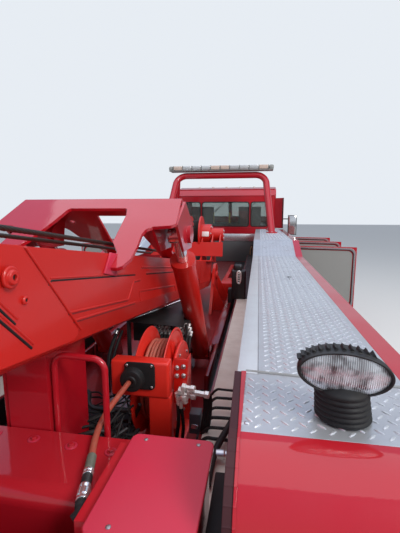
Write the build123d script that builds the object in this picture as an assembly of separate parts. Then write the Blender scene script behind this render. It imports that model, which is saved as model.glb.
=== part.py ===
from build123d import *
import math
import os

# Heavy recovery truck with an open toolbox body, a telescopic boom and a wheel lift.
# Millimetres. +X is the truck's right, +Y its front, +Z up. The origin is on the ground, at
# the middle of the truck's length and width.
os.makedirs("parts", exist_ok=True)

# Overall stations along Y
BODY_REAR_Y = -4650
PLATE_REAR_Y = -4460
RAMP_LOW_Y = -1120
RAMP_HIGH_Y = -640
BOX_FRONT_Y = 2300
CAB_REAR_Y = 2480
CAB_FRONT_Y = 3980
HOOD_FRONT_Y = 5400
BUMPER_REAR_Y = 5480

# Widths, measured from the centre plane
BODY_HALF = 1220
WELL_HALF = 662
RAIL_INNER_X = 1144
CAB_HALF = 1070

# Heights
BOX_LOW_Z = 1600
BOX_HIGH_Z = 1750
LEDGE_Z = 1200
DECK_Z = 1050
BULKHEAD_Z = 1650

# Ladder frame
FRAME_TOP_Z = 1030
FRAME_DEPTH = 270
FRAME_HALF = 431
FRAME_FLANGE = 90
FRAME_WALL = 10
FRAME_REAR_Y = -4560
FRAME_FRONT_Y = 5300
CROSSMEMBER_YS = (-4400, -2600, -900, 900, 2300, 3700)

# Hood hinge, low on the frame's front horns
HOOD_HINGE_Y = 5370
HOOD_HINGE_Z = 800
HOOD_LUG_X = 375
HOOD_PIN_R = 12

HORN_TOP_Z = FRAME_TOP_Z - FRAME_DEPTH

# Wheels
TYRE_R = 525
TYRE_W = 275
RIM_R = 290
AXLE_Z = TYRE_R
FRONT_AXLE_Y = 4720
REAR_AXLE_YS = (-3280, -1920)
FRONT_TRACK_HALF = 1035
DUAL_OUTER_X = 1055
DUAL_INNER_X = 725
KINGPIN_X = 850

# Toolbox compartments and their doors
WALL = 40
DOOR_T = 38
DOOR_GAP = 8
DOOR_BOTTOM_Z = 690
DOOR_TOP_Z = 1600
DOOR_HINGE_YS = (290, 1270, 2250)
DOOR_LENGTH = 900
DOOR_OPEN_DEG = 80
BOX_HINGE_ZS = (760, 1410)
LOW_SIDE_Z = 1140
FRONT_SIDE_Z = 640
REAR_SIDE_Z = 780
ARCH_REAR_Y = -3930
ARCH_FRONT_Y = -1270
FASCIA_R = 190
TREAD_T = 5

# Boom
PIVOT_Y = -1300
PIVOT_Z = 1389
BOOM_ANGLE = 8.53
BOOM_H = 300
BOOM_SIDE_H = 200
BOOM_FACET_H = 65
BOOM_FACET_IN = 20
BOOM_FLOOR_HALF = 130
BOOM_HALF = 215
BOOM_WALL = 12
BOOM_END = 3650
STAGE_CLEAR = 8
SLIDE_GAP = 0.3
STAGE_START = 500
STAGE_END = 4060
HEAD_END = 4430
HEAD_LOW = -110
BOOM_FRAME = Location((0, PIVOT_Y, PIVOT_Z), (-BOOM_ANGLE, 0, 0))
BOOM_COS = math.cos(math.radians(BOOM_ANGLE))
BOOM_SIN = math.sin(math.radians(BOOM_ANGLE))
BUMPER_FRONT_Y = -(PIVOT_Y - HEAD_END * BOOM_COS + HEAD_LOW * BOOM_SIN)

# Boom lift cylinders
LIFT_X = 345
LIFT_BASE_Y = -2904
LIFT_BASE_Z = 1135
LIFT_TOP_Y = -3600
LIFT_TOP_Z = 1995
BARREL_R = 60
ROD_R = 28
LIFT_PIN_R = 25
PIN_CLEAR = 0.06

# Wheel lift
LIFT_ARM_Y = -4790
LIFT_ARM_Z = 640
LIFT_ARM_LEN = 620
CROSSBAR_HALF = 480


def block(x0, x1, y0, y1, z0, z1):
    return Pos((x0 + x1) / 2, (y0 + y1) / 2, (z0 + z1) / 2) * Box(abs(x1 - x0), abs(y1 - y0), abs(z1 - z0))


def side_slab(points, x0, x1, radius=0):
    """A plate drawn in the Y-Z plane that reaches from x0 to x1."""
    outline = FilletPolyline(*points, radius=radius, close=True) if radius else Polyline(*points, close=True)
    return extrude(Plane.YZ.offset(x0) * make_face(outline), amount=x1 - x0, dir=(1, 0, 0))


def cross_slab(points, y0, y1, radius=0):
    """A plate drawn in the X-Z plane that reaches from y0 to y1."""
    outline = FilletPolyline(*points, radius=radius, close=True) if radius else Polyline(*points, close=True)
    return extrude(Plane.XZ.offset(-y0) * make_face(outline), amount=y1 - y0, dir=(0, 1, 0))


def flat_slab(points, z0, z1, radius=0):
    outline = FilletPolyline(*points, radius=radius, close=True) if radius else Polyline(*points, close=True)
    return extrude(Plane.XY.offset(z0) * make_face(outline), amount=z1 - z0, dir=(0, 0, 1))


def rod_x(x0, x1, y, z, radius):
    return Pos((x0 + x1) / 2, y, z) * Rot(0, 90, 0) * Cylinder(radius, abs(x1 - x0))


def rod_y(y0, y1, x, z, radius):
    return Pos(x, (y0 + y1) / 2, z) * Rot(90, 0, 0) * Cylinder(radius, abs(y1 - y0))


def rod_z(z0, z1, x, y, radius):
    return Pos(x, y, (z0 + z1) / 2) * Cylinder(radius, abs(z1 - z0))


def rod_between(a, b, radius):
    start = Vector(*a)
    run = Vector(*b) - start
    return extrude(Plane(origin=start, z_dir=run) * Circle(radius), amount=run.length)


def bent_tube(points, radius, bend):
    path = FilletPolyline(*points, radius=bend)
    return sweep(Plane(origin=path @ 0, z_dir=path % 0) * Circle(radius), path=path)


def mirrored(part):
    return mirror(part, about=Plane.YZ)


def both_sides(part):
    return Compound([part, mirrored(part)])


def save(node, part):
    export_step(part, f"parts/{node}.step")


# Ladder frame
def frame_rail():
    low = FRAME_TOP_Z - FRAME_DEPTH
    outer = block(FRAME_HALF - FRAME_FLANGE, FRAME_HALF, FRAME_REAR_Y, FRAME_FRONT_Y, low, FRAME_TOP_Z)
    hollow = block(FRAME_HALF - FRAME_FLANGE, FRAME_HALF - FRAME_WALL, FRAME_REAR_Y, FRAME_FRONT_Y,
                   low + FRAME_WALL, FRAME_TOP_Z - FRAME_WALL)
    return outer - hollow


def chassis_frame():
    rail = frame_rail()
    frame = [rail, mirrored(rail)]
    reach = FRAME_HALF - FRAME_WALL
    for y in CROSSMEMBER_YS:
        frame.append(block(-reach, reach, y - 40, y + 40, FRAME_TOP_Z - 230, FRAME_TOP_Z - 40))
    horn = block(FRAME_HALF - 70, FRAME_HALF, FRAME_FRONT_Y - 60, BUMPER_REAR_Y, 600, HORN_TOP_Z)
    lug = side_slab([(HOOD_HINGE_Y - 45, HORN_TOP_Z), (HOOD_HINGE_Y - 20, HOOD_HINGE_Z + 15),
                     (HOOD_HINGE_Y + 15, HOOD_HINGE_Z + 15), (HOOD_HINGE_Y + 18, HORN_TOP_Z)],
                    HOOD_LUG_X, HOOD_LUG_X + 20)
    horn += lug + rod_x(HOOD_LUG_X - 10, HOOD_LUG_X + 60, HOOD_HINGE_Y, HOOD_HINGE_Z, HOOD_PIN_R)
    frame += [horn, mirrored(horn)]
    hanger = side_slab([(LIFT_ARM_Y - 60, LIFT_ARM_Z - 60), (LIFT_ARM_Y - 60, LIFT_ARM_Z + 70),
                        (BODY_REAR_Y - 10, 775), (FRAME_REAR_Y + 160, 775), (FRAME_REAR_Y + 160, 700)], 110, 140)
    hanger += mirrored(hanger) + rod_x(-150, 150, LIFT_ARM_Y, LIFT_ARM_Z, 30)
    hanger += block(-FRAME_HALF, FRAME_HALF, FRAME_REAR_Y, FRAME_REAR_Y + 160, 700, FRAME_TOP_Z - FRAME_DEPTH)
    return Compound([*frame, hanger])


# Axles, springs and drive shaft
SPINDLE_R = 45
SPINDLE_END_X = 1150
REAR_SPINDLE_R = 60
REAR_SPINDLE_X = 705
HUB_R = 95
SPRING_X = 386
BEAM_END_R = 42
BEAM_X = 500


def front_axle():
    beam = cross_slab([(-KINGPIN_X + 60, 480), (-700, 480), (-560, 400), (560, 400), (700, 480),
                       (KINGPIN_X - 60, 480), (KINGPIN_X - 60, 570), (660, 570), (520, 490), (-520, 490),
                       (-660, 570), (-KINGPIN_X + 60, 570)], FRONT_AXLE_Y - 55, FRONT_AXLE_Y + 55)
    low = FRAME_TOP_Z - FRAME_DEPTH
    for side in (-1, 1):
        x = side * SPRING_X
        leaf = side_slab([(FRONT_AXLE_Y - 490, low - 70), (FRONT_AXLE_Y, 500), (FRONT_AXLE_Y + 490, low - 70),
                          (FRONT_AXLE_Y + 490, low - 110), (FRONT_AXLE_Y, 450), (FRONT_AXLE_Y - 490, low - 110)],
                         x - 40, x + 40)
        beam += leaf + block(x - 45, x + 45, FRONT_AXLE_Y - 70, FRONT_AXLE_Y + 70, 430, 560)
        for end in (-1, 1):
            y = FRONT_AXLE_Y + end * 460
            beam += block(x - 30, x + 30, y - 30, y + 30, low - 100, low)
        beam += rod_z(440, 610, side * KINGPIN_X, FRONT_AXLE_Y, 24)
        x0, x1 = sorted((side * (KINGPIN_X - 62), side * KINGPIN_X))
        beam += block(x0, x1, FRONT_AXLE_Y - BEAM_END_R, FRONT_AXLE_Y + BEAM_END_R, 480, 570)
        beam += rod_z(480, 570, side * KINGPIN_X, FRONT_AXLE_Y, BEAM_END_R)
    return beam


def rear_axles():
    low = FRAME_TOP_Z - FRAME_DEPTH
    middle = sum(REAR_AXLE_YS) / 2
    unit = None
    for y in REAR_AXLE_YS:
        axle = rod_x(-560, 560, y, AXLE_Z, 70) + rod_x(-REAR_SPINDLE_X, REAR_SPINDLE_X, y, AXLE_Z, REAR_SPINDLE_R)
        axle += rod_x(-150, 150, y, AXLE_Z, 190)
        axle += rod_y(y, y + 300, 0, AXLE_Z + 40, 90)
        unit = axle if unit is None else unit + axle
    unit += rod_y(REAR_AXLE_YS[0], REAR_AXLE_YS[1], 0, AXLE_Z + 40, 45)
    unit += rod_y(REAR_AXLE_YS[1], 3200, 0, AXLE_Z + 90, 50)
    for side in (-1, 1):
        x = side * BEAM_X
        unit += block(x - 45, x + 45, REAR_AXLE_YS[0] - 90, REAR_AXLE_YS[1] + 90, AXLE_Z - 60, AXLE_Z + 80)
        unit += side_slab([(middle - 330, AXLE_Z + 80), (middle + 330, AXLE_Z + 80), (middle + 160, low + 60),
                           (middle - 160, low + 60)], min(side * FRAME_HALF, side * (FRAME_HALF + 60)),
                          max(side * FRAME_HALF, side * (FRAME_HALF + 60)))
    return unit


def tyre(width):
    half = width / 2
    face = make_face(Polyline((-half + 25, RIM_R - 5), (-half, RIM_R + 60), (-half, TYRE_R - 90),
                              (-half + 35, TYRE_R - 15), (-half + 60, TYRE_R), (half - 60, TYRE_R),
                              (half - 35, TYRE_R - 15), (half, TYRE_R - 90), (half, RIM_R + 60),
                              (half - 25, RIM_R - 5), close=True))
    return revolve(face, axis=Axis.X)


NUT_COUNT = 10


def rim(dish):
    """A steel disc wheel; dish is how far the disc's mounting face stands along +X."""
    half = TYRE_W / 2 - 25
    barrel = revolve(make_face(Polyline((-half, RIM_R - 5.5), (half, RIM_R - 5.5), (half, RIM_R - 25),
                                        (-half, RIM_R - 25), close=True)), axis=Axis.X)
    edge = min(dish - 36, half)
    disc = revolve(make_face(Polyline((dish - 14, 0), (dish - 14, 170), (edge - 14, RIM_R - 24),
                                      (edge, RIM_R - 24), (dish, 175), (dish, 0), close=True)), axis=Axis.X)
    hand_hole = Pos((dish + edge) / 2 - 7, 0, 228) * Rot(0, 90, 0) * Cylinder(24, 2 * (dish - edge) + 40)
    for i in range(NUT_COUNT):
        disc -= Rot(i * 360 / NUT_COUNT, 0, 0) * hand_hole
    return barrel + disc


def wheel_nuts(x0, x1):
    ring = None
    for i in range(NUT_COUNT):
        nut = Rot((i + 0.5) * 360 / NUT_COUNT, 0, 0) * rod_x(x0, x1, 0, 143, 14)
        ring = nut if ring is None else ring + nut
    return ring


def front_wheel(side):
    place = Pos(side * FRONT_TRACK_HALF, FRONT_AXLE_Y, AXLE_Z) * Rot(0, 0, 0 if side > 0 else 180)
    spindle_end = SPINDLE_END_X - FRONT_TRACK_HALF
    wheel = rim(97) + rod_x(0, 150, 0, 0, HUB_R) + wheel_nuts(96, 120)
    wheel -= rod_x(-10, spindle_end + 5, 0, 0, SPINDLE_R + PIN_CLEAR)
    return place * tyre(TYRE_W), place * wheel


def rear_wheel(side, y):
    place = Pos(side * DUAL_INNER_X, y, AXLE_Z) * Rot(0, 0, 0 if side > 0 else 180)
    spread = DUAL_OUTER_X - DUAL_INNER_X
    outer = Pos(spread, 0, 0)
    tyres = Compound([place * outer * tyre(TYRE_W), place * tyre(TYRE_W)])
    rims = rim(spread / 2) + outer * Rot(0, 0, 180) * rim(spread / 2) + rod_x(-60, 320, 0, 0, HUB_R)
    rims += wheel_nuts(spread / 2 + 13, spread / 2 + 40)
    rims -= rod_x(-80, REAR_SPINDLE_X - DUAL_INNER_X + 5, 0, 0, REAR_SPINDLE_R + PIN_CLEAR)
    return tyres, place * rims


def knuckle(side):
    x = side * KINGPIN_X
    yoke = block(min(x, x + side * 70), max(x, x + side * 70), FRONT_AXLE_Y - 50, FRONT_AXLE_Y + 50, 400, 650)
    arms = block(x - 45, x + 45, FRONT_AXLE_Y - 45, FRONT_AXLE_Y + 45, 575, 650)
    arms += block(x - 45, x + 45, FRONT_AXLE_Y - 45, FRONT_AXLE_Y + 45, 400, 475)
    slot = block(min(x - side * 60, x + side * 48), max(x - side * 60, x + side * 48),
                 FRONT_AXLE_Y - 60, FRONT_AXLE_Y + 60, 475, 575)
    pin_bore = rod_z(390, 660, x, FRONT_AXLE_Y, 24 + PIN_CLEAR)
    spindle = rod_x(x + side * 60, side * SPINDLE_END_X, FRONT_AXLE_Y, AXLE_Z, SPINDLE_R)
    steering_arm = block(x - 30, x + 30, FRONT_AXLE_Y - 240, FRONT_AXLE_Y - 40, 405, 440)
    return yoke + arms + steering_arm - slot - pin_bore + spindle


# Surface hinges of the cab and toolbox doors: a pinned knuckle on the body between two on the door
HINGE_PIN_R = 6
HINGE_KNUCKLE_R = 12
HINGE_STAND = 14
LEAF_T = 5
LEAF_W = 75
KNUCKLE_LEN = 40
KNUCKLE_GAP = 0.5


def hinge_half(skin_x, y, low_z, direction):
    """direction 1 is the body's leaf with its pin, -1 the door's leaf with its two bored knuckles."""
    x = skin_x + HINGE_STAND
    top_z = low_z + 3 * KNUCKLE_LEN
    if direction > 0:
        spans = ((low_z + KNUCKLE_LEN, top_z - KNUCKLE_LEN),)
    else:
        spans = ((low_z, low_z + KNUCKLE_LEN - KNUCKLE_GAP), (top_z - KNUCKLE_LEN + KNUCKLE_GAP, top_z))
    half = None
    for z0, z1 in spans:
        leaf = block(skin_x, skin_x + LEAF_T, y + direction * 6, y + direction * LEAF_W, z0, z1)
        knuckle_part = rod_z(z0, z1, x, y, HINGE_KNUCKLE_R) + leaf
        knuckle_part += block(skin_x, x, y + direction * 6, y + direction * 11, z0, z1)
        half = knuckle_part if half is None else half + knuckle_part
    if direction > 0:
        return half + rod_z(low_z, top_z, x, y, HINGE_PIN_R)
    return half - rod_z(low_z - 1, top_z + 1, x, y, HINGE_PIN_R + PIN_CLEAR)


# Cab
CAB_WALL = 40
CAB_HINGE_Y = 3703
CAB_HINGE_ZS = (1250, 1650)
CAB_FLOOR_Z = 1130
CAB_SIDE = [(CAB_REAR_Y, CAB_FLOOR_Z), (CAB_REAR_Y, 2450), (CAB_REAR_Y + 130, 2590), (CAB_REAR_Y + 500, 2660),
            (3420, 2680), (3640, 2620), (3900, 1960), (CAB_FRONT_Y, 1900), (CAB_FRONT_Y, CAB_FLOOR_Z)]
CAB_INSIDE = [(CAB_REAR_Y + 40, CAB_FLOOR_Z + 40), (CAB_REAR_Y + 40, 2430), (CAB_REAR_Y + 150, 2552),
              (CAB_REAR_Y + 500, 2620), (3410, 2640), (3610, 2590), (3862, 1935), (CAB_FRONT_Y - 40, 1860),
              (CAB_FRONT_Y - 40, CAB_FLOOR_Z + 40)]
CAB_DOOR = [(2600, 1190), (2600, 2400), (3560, 2400), (3700, 2020), (3700, 1190)]
CAB_WINDOW = [(2690, 1830), (2690, 2330), (3500, 2330), (3620, 2020), (3620, 1830)]
REAR_WINDOWS = ((-910, -545), (-512, 512), (545, 910))
REAR_WINDOW_Z = (1797, 2320)
DOOR_CLEAR = 6


def grown(points, gap):
    centre_y = sum(p[0] for p in points) / len(points)
    centre_z = sum(p[1] for p in points) / len(points)
    return [(y + math.copysign(gap, y - centre_y), z + math.copysign(gap, z - centre_z)) for y, z in points]


def cab_shell():
    shell = side_slab(CAB_SIDE, -CAB_HALF, CAB_HALF)
    shell = fillet(shell.edges().filter_by(Axis.Z).group_by(Axis.Y)[0], 70)
    shell -= side_slab(CAB_INSIDE, -CAB_HALF + CAB_WALL, CAB_HALF - CAB_WALL)
    low, high = REAR_WINDOW_Z
    for x0, x1 in REAR_WINDOWS:
        shell -= cross_slab([(x0, low), (x1, low), (x1, high), (x0, high)], CAB_REAR_Y - 20, CAB_REAR_Y + 60, 45)
    opening = side_slab(grown(CAB_DOOR, DOOR_CLEAR), CAB_HALF - CAB_WALL - 10, CAB_HALF + 10)
    shell -= opening
    shell -= mirrored(opening)
    for x0, x1 in ((-CAB_HALF + 80, -30), (30, CAB_HALF - 80)):
        shell -= side_slab([(3500, 2540), (3760, 1985), (4100, 1985), (4100, 2540)], x0, x1)
    for y in (2560, 3820):
        mount = block(FRAME_HALF - 80, FRAME_HALF - 10, y, y + 90, FRAME_TOP_Z, CAB_FLOOR_Z)
        shell += mount + mirrored(mount)
    for low_z in CAB_HINGE_ZS:
        hinge = hinge_half(CAB_HALF, CAB_HINGE_Y, low_z, 1)
        shell += hinge + mirrored(hinge)
    return shell


def cab_glass():
    panes = []
    low, high = REAR_WINDOW_Z
    for x0, x1 in REAR_WINDOWS:
        panes.append(cross_slab([(x0, low), (x1, low), (x1, high), (x0, high)], CAB_REAR_Y + 15, CAB_REAR_Y + 21, 45))
    for x0, x1 in ((-CAB_HALF + 80, -30), (30, CAB_HALF - 80)):
        pane = side_slab([(3655, 2540), (3873, 1985), (3880, 1985), (3662, 2540)], x0, x1)
        panes.append(pane)
    return Compound(panes)


STEERING_WHEEL_Y = 3432


def cab_interior():
    floor = CAB_FLOOR_Z + CAB_WALL
    parts = []
    for side in (-1, 1):
        x = side * 520
        seat = block(x - 250, x + 250, 2720, 3230, floor, floor + 330)
        seat += side_slab([(2640, floor + 300), (2800, floor + 300), (2720, floor + 1050), (2600, floor + 1050)],
                          x - 240, x + 240)
        parts.append(seat)
    dash = side_slab([(3600, 1560), (3600, 1760), (3840, 1850), (CAB_FRONT_Y - 40, 1850), (CAB_FRONT_Y - 40, 1500)],
                     -CAB_HALF + 60, CAB_HALF - 60)
    hub = (-520, STEERING_WHEEL_Y, 1750)
    column = rod_between((-520, 3640, 1640), hub, 28)
    wheel = Plane(origin=hub, z_dir=(0, -220, 100)) * Torus(215, 15)
    spoke = rod_between((-735, STEERING_WHEEL_Y, 1750), (-305, STEERING_WHEEL_Y, 1750), 14)
    parts.append(dash + column + wheel + spoke)
    return Compound(parts)


def cab_door(side):
    door = side_slab(CAB_DOOR, CAB_HALF - CAB_WALL, CAB_HALF)
    door -= side_slab(CAB_WINDOW, CAB_HALF - CAB_WALL - 5, CAB_HALF + 5, 30)
    for low_z in CAB_HINGE_ZS:
        door += hinge_half(CAB_HALF, CAB_HINGE_Y, low_z, -1)
    return door if side > 0 else mirrored(door)


def cab_door_glass(side):
    glass = side_slab(CAB_WINDOW, CAB_HALF - 24, CAB_HALF - 18, 30)
    return glass if side > 0 else mirrored(glass)


# Hood with its fenders, tilting forward
HOOD_WALL = 10
GRILLE_HALF = 430
GRILLE_Z = (900, 1580)


def hood():
    top = [(4005, 1150), (4005, 1920), (5150, 1760), (HOOD_FRONT_Y, 1640), (HOOD_FRONT_Y, 820), (5200, 820),
           (5200, 1150)]
    centre = side_slab(top, -560, 560)
    inside = [(3995, 1100), (3995, 1908), (5146, 1748), (HOOD_FRONT_Y - HOOD_WALL, 1633),
              (HOOD_FRONT_Y - HOOD_WALL, 800), (5150, 800), (5150, 1100)]
    fender = side_slab([(4060, 1000), (4060, 1250), (4330, 1330), (5150, 1300), (HOOD_FRONT_Y, 1160),
                        (HOOD_FRONT_Y, 820), (5200, 820), (5150, 900)], -BODY_HALF + 20, BODY_HALF - 20)
    fender_inside = side_slab([(3995, 980), (3995, 1238), (4332, 1318), (5146, 1288),
                               (HOOD_FRONT_Y - HOOD_WALL, 1152), (HOOD_FRONT_Y - HOOD_WALL, 800), (5170, 800)],
                              -BODY_HALF + 30, BODY_HALF - 30)
    wheel_gap = rod_x(-1300, 1300, FRONT_AXLE_Y, AXLE_Z, 640)
    part = centre + fender - side_slab(inside, -560 + HOOD_WALL, 560 - HOOD_WALL) - fender_inside - wheel_gap
    part -= block(-GRILLE_HALF, GRILLE_HALF, HOOD_FRONT_Y - 60, HOOD_FRONT_Y + 10, *GRILLE_Z)
    inner_face = HOOD_FRONT_Y - HOOD_WALL
    bracket = side_slab([(inner_face, 895), (inner_face, 822), (HOOD_HINGE_Y + 18, HOOD_HINGE_Z - 18),
                         (HOOD_HINGE_Y - 18, HOOD_HINGE_Z - 18), (HOOD_HINGE_Y - 18, HOOD_HINGE_Z + 25)],
                        HOOD_LUG_X + 25, HOOD_LUG_X + 45)
    bracket -= rod_x(HOOD_LUG_X, HOOD_LUG_X + 60, HOOD_HINGE_Y, HOOD_HINGE_Z, HOOD_PIN_R + PIN_CLEAR)
    return part + bracket + mirrored(bracket)


def grille():
    frame = block(-GRILLE_HALF, GRILLE_HALF, HOOD_FRONT_Y - 30, HOOD_FRONT_Y, *GRILLE_Z)
    frame -= block(-385, 385, HOOD_FRONT_Y - 40, HOOD_FRONT_Y + 10, 945, 1535)
    for i in range(12):
        z = 970 + i * 49
        frame += block(-390, 390, HOOD_FRONT_Y - 24, HOOD_FRONT_Y - 6, z, z + 22)
    frame += block(-15, 15, HOOD_FRONT_Y - 30, HOOD_FRONT_Y - 4, 940, 1540)
    return frame


def front_bumper():
    shape = [(-BODY_HALF + 20, 5300), (-BODY_HALF + 20, 5560), (-1000, BUMPER_FRONT_Y), (1000, BUMPER_FRONT_Y),
             (BODY_HALF - 20, 5560), (BODY_HALF - 20, 5300), (BODY_HALF - 30, 5300), (BODY_HALF - 30, 5550),
             (990, BUMPER_FRONT_Y - 10), (-990, BUMPER_FRONT_Y - 10), (-BODY_HALF + 30, 5550),
             (-BODY_HALF + 30, 5300)]
    face = flat_slab(shape, 430, 770)
    for side in (-1, 1):
        x = side * (FRAME_HALF - 35)
        face += block(x - 34, x + 34, BUMPER_REAR_Y, BUMPER_FRONT_Y - 9, 610, 740)
    return face


def fuel_tanks():
    parts = []
    for side in (-1, 1):
        x = side * 780
        tank = rod_y(2650, 3880, x, 800, 300)
        tank += block(min(x, side * 1180), max(x, side * 1180), 2700, 3830, 1092, 1110)
        tank += block(min(side * FRAME_HALF, x), max(side * FRAME_HALF, x), 2780, 2860, 770, 860)
        tank += block(min(side * FRAME_HALF, x), max(side * FRAME_HALF, x), 3660, 3740, 770, 860)
        parts.append(tank)
    return Compound(parts)


# Toolbox bodies
def tool_body_right():
    outline = [(BODY_REAR_Y, REAR_SIDE_Z), (BODY_REAR_Y, BOX_LOW_Z), (RAMP_LOW_Y, BOX_LOW_Z),
               (RAMP_HIGH_Y, BOX_HIGH_Z), (BOX_FRONT_Y, BOX_HIGH_Z), (BOX_FRONT_Y, FRONT_SIDE_Z),
               (ARCH_FRONT_Y, FRONT_SIDE_Z), (ARCH_FRONT_Y - 250, LOW_SIDE_Z), (ARCH_REAR_Y + 250, LOW_SIDE_Z),
               (ARCH_REAR_Y, REAR_SIDE_Z)]
    body = side_slab(outline, WELL_HALF, BODY_HALF)
    rear_top = body.edges().filter_by(Axis.X).group_by(Axis.Y)[0].sort_by(Axis.Z)[-1]
    body = fillet(rear_top, FASCIA_R)
    body -= side_slab([(PLATE_REAR_Y, BOX_LOW_Z - TREAD_T), (RAMP_LOW_Y, BOX_LOW_Z - TREAD_T),
                       (RAMP_HIGH_Y, BOX_HIGH_Z - TREAD_T), (BOX_FRONT_Y + 10, BOX_HIGH_Z - TREAD_T),
                       (BOX_FRONT_Y + 10, BOX_HIGH_Z + 20), (PLATE_REAR_Y, BOX_HIGH_Z + 20)],
                      WELL_HALF - 10, RAIL_INNER_X)
    for hinge_y in DOOR_HINGE_YS:
        body -= block(WELL_HALF + WALL, BODY_HALF + 10, hinge_y - DOOR_LENGTH - DOOR_GAP, hinge_y + DOOR_GAP,
                      DOOR_BOTTOM_Z - DOOR_GAP, DOOR_TOP_Z + DOOR_GAP)
    for hinge_y in DOOR_HINGE_YS:
        for low_z in BOX_HINGE_ZS:
            body += hinge_half(BODY_HALF, hinge_y + DOOR_GAP / 2, low_z, 1)
    return body


def tread_plate_right():
    pts = [(PLATE_REAR_Y, BOX_LOW_Z - TREAD_T), (RAMP_LOW_Y, BOX_LOW_Z - TREAD_T),
           (RAMP_HIGH_Y, BOX_HIGH_Z - TREAD_T), (BOX_FRONT_Y, BOX_HIGH_Z - TREAD_T),
           (BOX_FRONT_Y, BOX_HIGH_Z), (RAMP_HIGH_Y, BOX_HIGH_Z), (RAMP_LOW_Y, BOX_LOW_Z),
           (PLATE_REAR_Y, BOX_LOW_Z)]
    return side_slab(pts, WELL_HALF, RAIL_INNER_X)


def toolbox_door(hinge_y, side):
    panel = block(BODY_HALF - DOOR_T, BODY_HALF, hinge_y - DOOR_LENGTH, hinge_y, DOOR_BOTTOM_Z, DOOR_TOP_Z)
    recess = extrude(Plane.YZ.offset(BODY_HALF - DOOR_T - 1) *
                     (Pos(hinge_y - DOOR_LENGTH / 2, (DOOR_BOTTOM_Z + DOOR_TOP_Z) / 2) *
                      RectangleRounded(DOOR_LENGTH - 60, DOOR_TOP_Z - DOOR_BOTTOM_Z - 60, 70)), amount=9, dir=(1, 0, 0))
    panel -= recess
    pin_y = hinge_y + DOOR_GAP / 2
    for low_z in BOX_HINGE_ZS:
        panel += hinge_half(BODY_HALF, pin_y, low_z, -1)
    pin_x = BODY_HALF + HINGE_STAND
    opened = Pos(pin_x, pin_y, 0) * Rot(0, 0, DOOR_OPEN_DEG) * Pos(-pin_x, -pin_y, 0) * panel
    return opened if side > 0 else mirrored(opened)


# Deck between the toolboxes
def deck():
    plates = [block(-500, 500, BODY_REAR_Y + 30, BOX_FRONT_Y - 40, FRAME_TOP_Z, DECK_Z),
              block(-WELL_HALF, WELL_HALF, BOX_FRONT_Y - 40, BOX_FRONT_Y, FRAME_TOP_Z, BULKHEAD_Z),
              block(-WELL_HALF, WELL_HALF, BODY_REAR_Y, BODY_REAR_Y + 30, 780, 1380)]
    ear = [(LIFT_BASE_Y - 90, DECK_Z), (LIFT_BASE_Y - 60, LIFT_BASE_Z + 30), (LIFT_BASE_Y - 30, LIFT_BASE_Z + 60),
           (LIFT_BASE_Y + 30, LIFT_BASE_Z + 60), (LIFT_BASE_Y + 60, LIFT_BASE_Z + 30), (LIFT_BASE_Y + 90, DECK_Z)]
    for side in (-1, 1):
        x0, x1 = sorted((side * 512, side * WELL_HALF))
        plates.append(block(x0, x1, BODY_REAR_Y + 30, BOX_FRONT_Y - 40, LEDGE_Z - 12, LEDGE_Z))
        x2, x3 = sorted((side * 500, side * 512))
        plates.append(block(x2, x3, BODY_REAR_Y + 30, BOX_FRONT_Y - 40, FRAME_TOP_Z, LEDGE_Z))
        pin = rod_x(side * LIFT_X - 75, side * LIFT_X + 75, LIFT_BASE_Y, LIFT_BASE_Z, LIFT_PIN_R)
        for offset in (-75, 63):
            pin += side_slab(ear, side * LIFT_X + offset, side * LIFT_X + offset + 12)
        plates.append(pin)
    return Compound(plates)


def boom_pedestal():
    cheek = [(PIVOT_Y - 420, DECK_Z), (PIVOT_Y - 140, PIVOT_Z + 70), (PIVOT_Y - 60, PIVOT_Z + 130),
             (PIVOT_Y + 60, PIVOT_Z + 130), (PIVOT_Y + 140, PIVOT_Z + 70), (PIVOT_Y + 380, DECK_Z)]
    part = side_slab(cheek, 228, 258) + side_slab(cheek, -258, -228)
    part += rod_x(-275, 275, PIVOT_Y, PIVOT_Z, 45)
    for side in (-1, 1):
        for y in (PIVOT_Y - 240, PIVOT_Y + 200):
            gusset = cross_slab([(side * 258, DECK_Z), (side * 400, DECK_Z), (side * 258, PIVOT_Z - 40)],
                                y - 8, y + 8)
            part += gusset
    return part


# Boom
def boom_section(inset):
    """Eight-sided box with straight sides and a narrower floor, as (x, height) points."""
    half = BOOM_HALF - inset
    top = BOOM_H / 2
    floor = BOOM_FLOOR_HALF - inset / 2
    right = [(half, top - inset), (half, top - BOOM_SIDE_H), (half - BOOM_FACET_IN, top - BOOM_SIDE_H - BOOM_FACET_H),
             (floor, -top + inset)]
    return right + [(-x, z) for x, z in reversed(right)]


def boom_run(inset, start, end):
    return cross_slab(boom_section(inset), -end, -start)


def boom_face_z(y, face):
    """Height of the boom's top (face 1) or bottom (face -1) at a truck station y."""
    rise = face * BOOM_H / 2
    run = (PIVOT_Y - y + rise * BOOM_SIN) / BOOM_COS
    return PIVOT_Z + run * BOOM_SIN + rise * BOOM_COS


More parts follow.
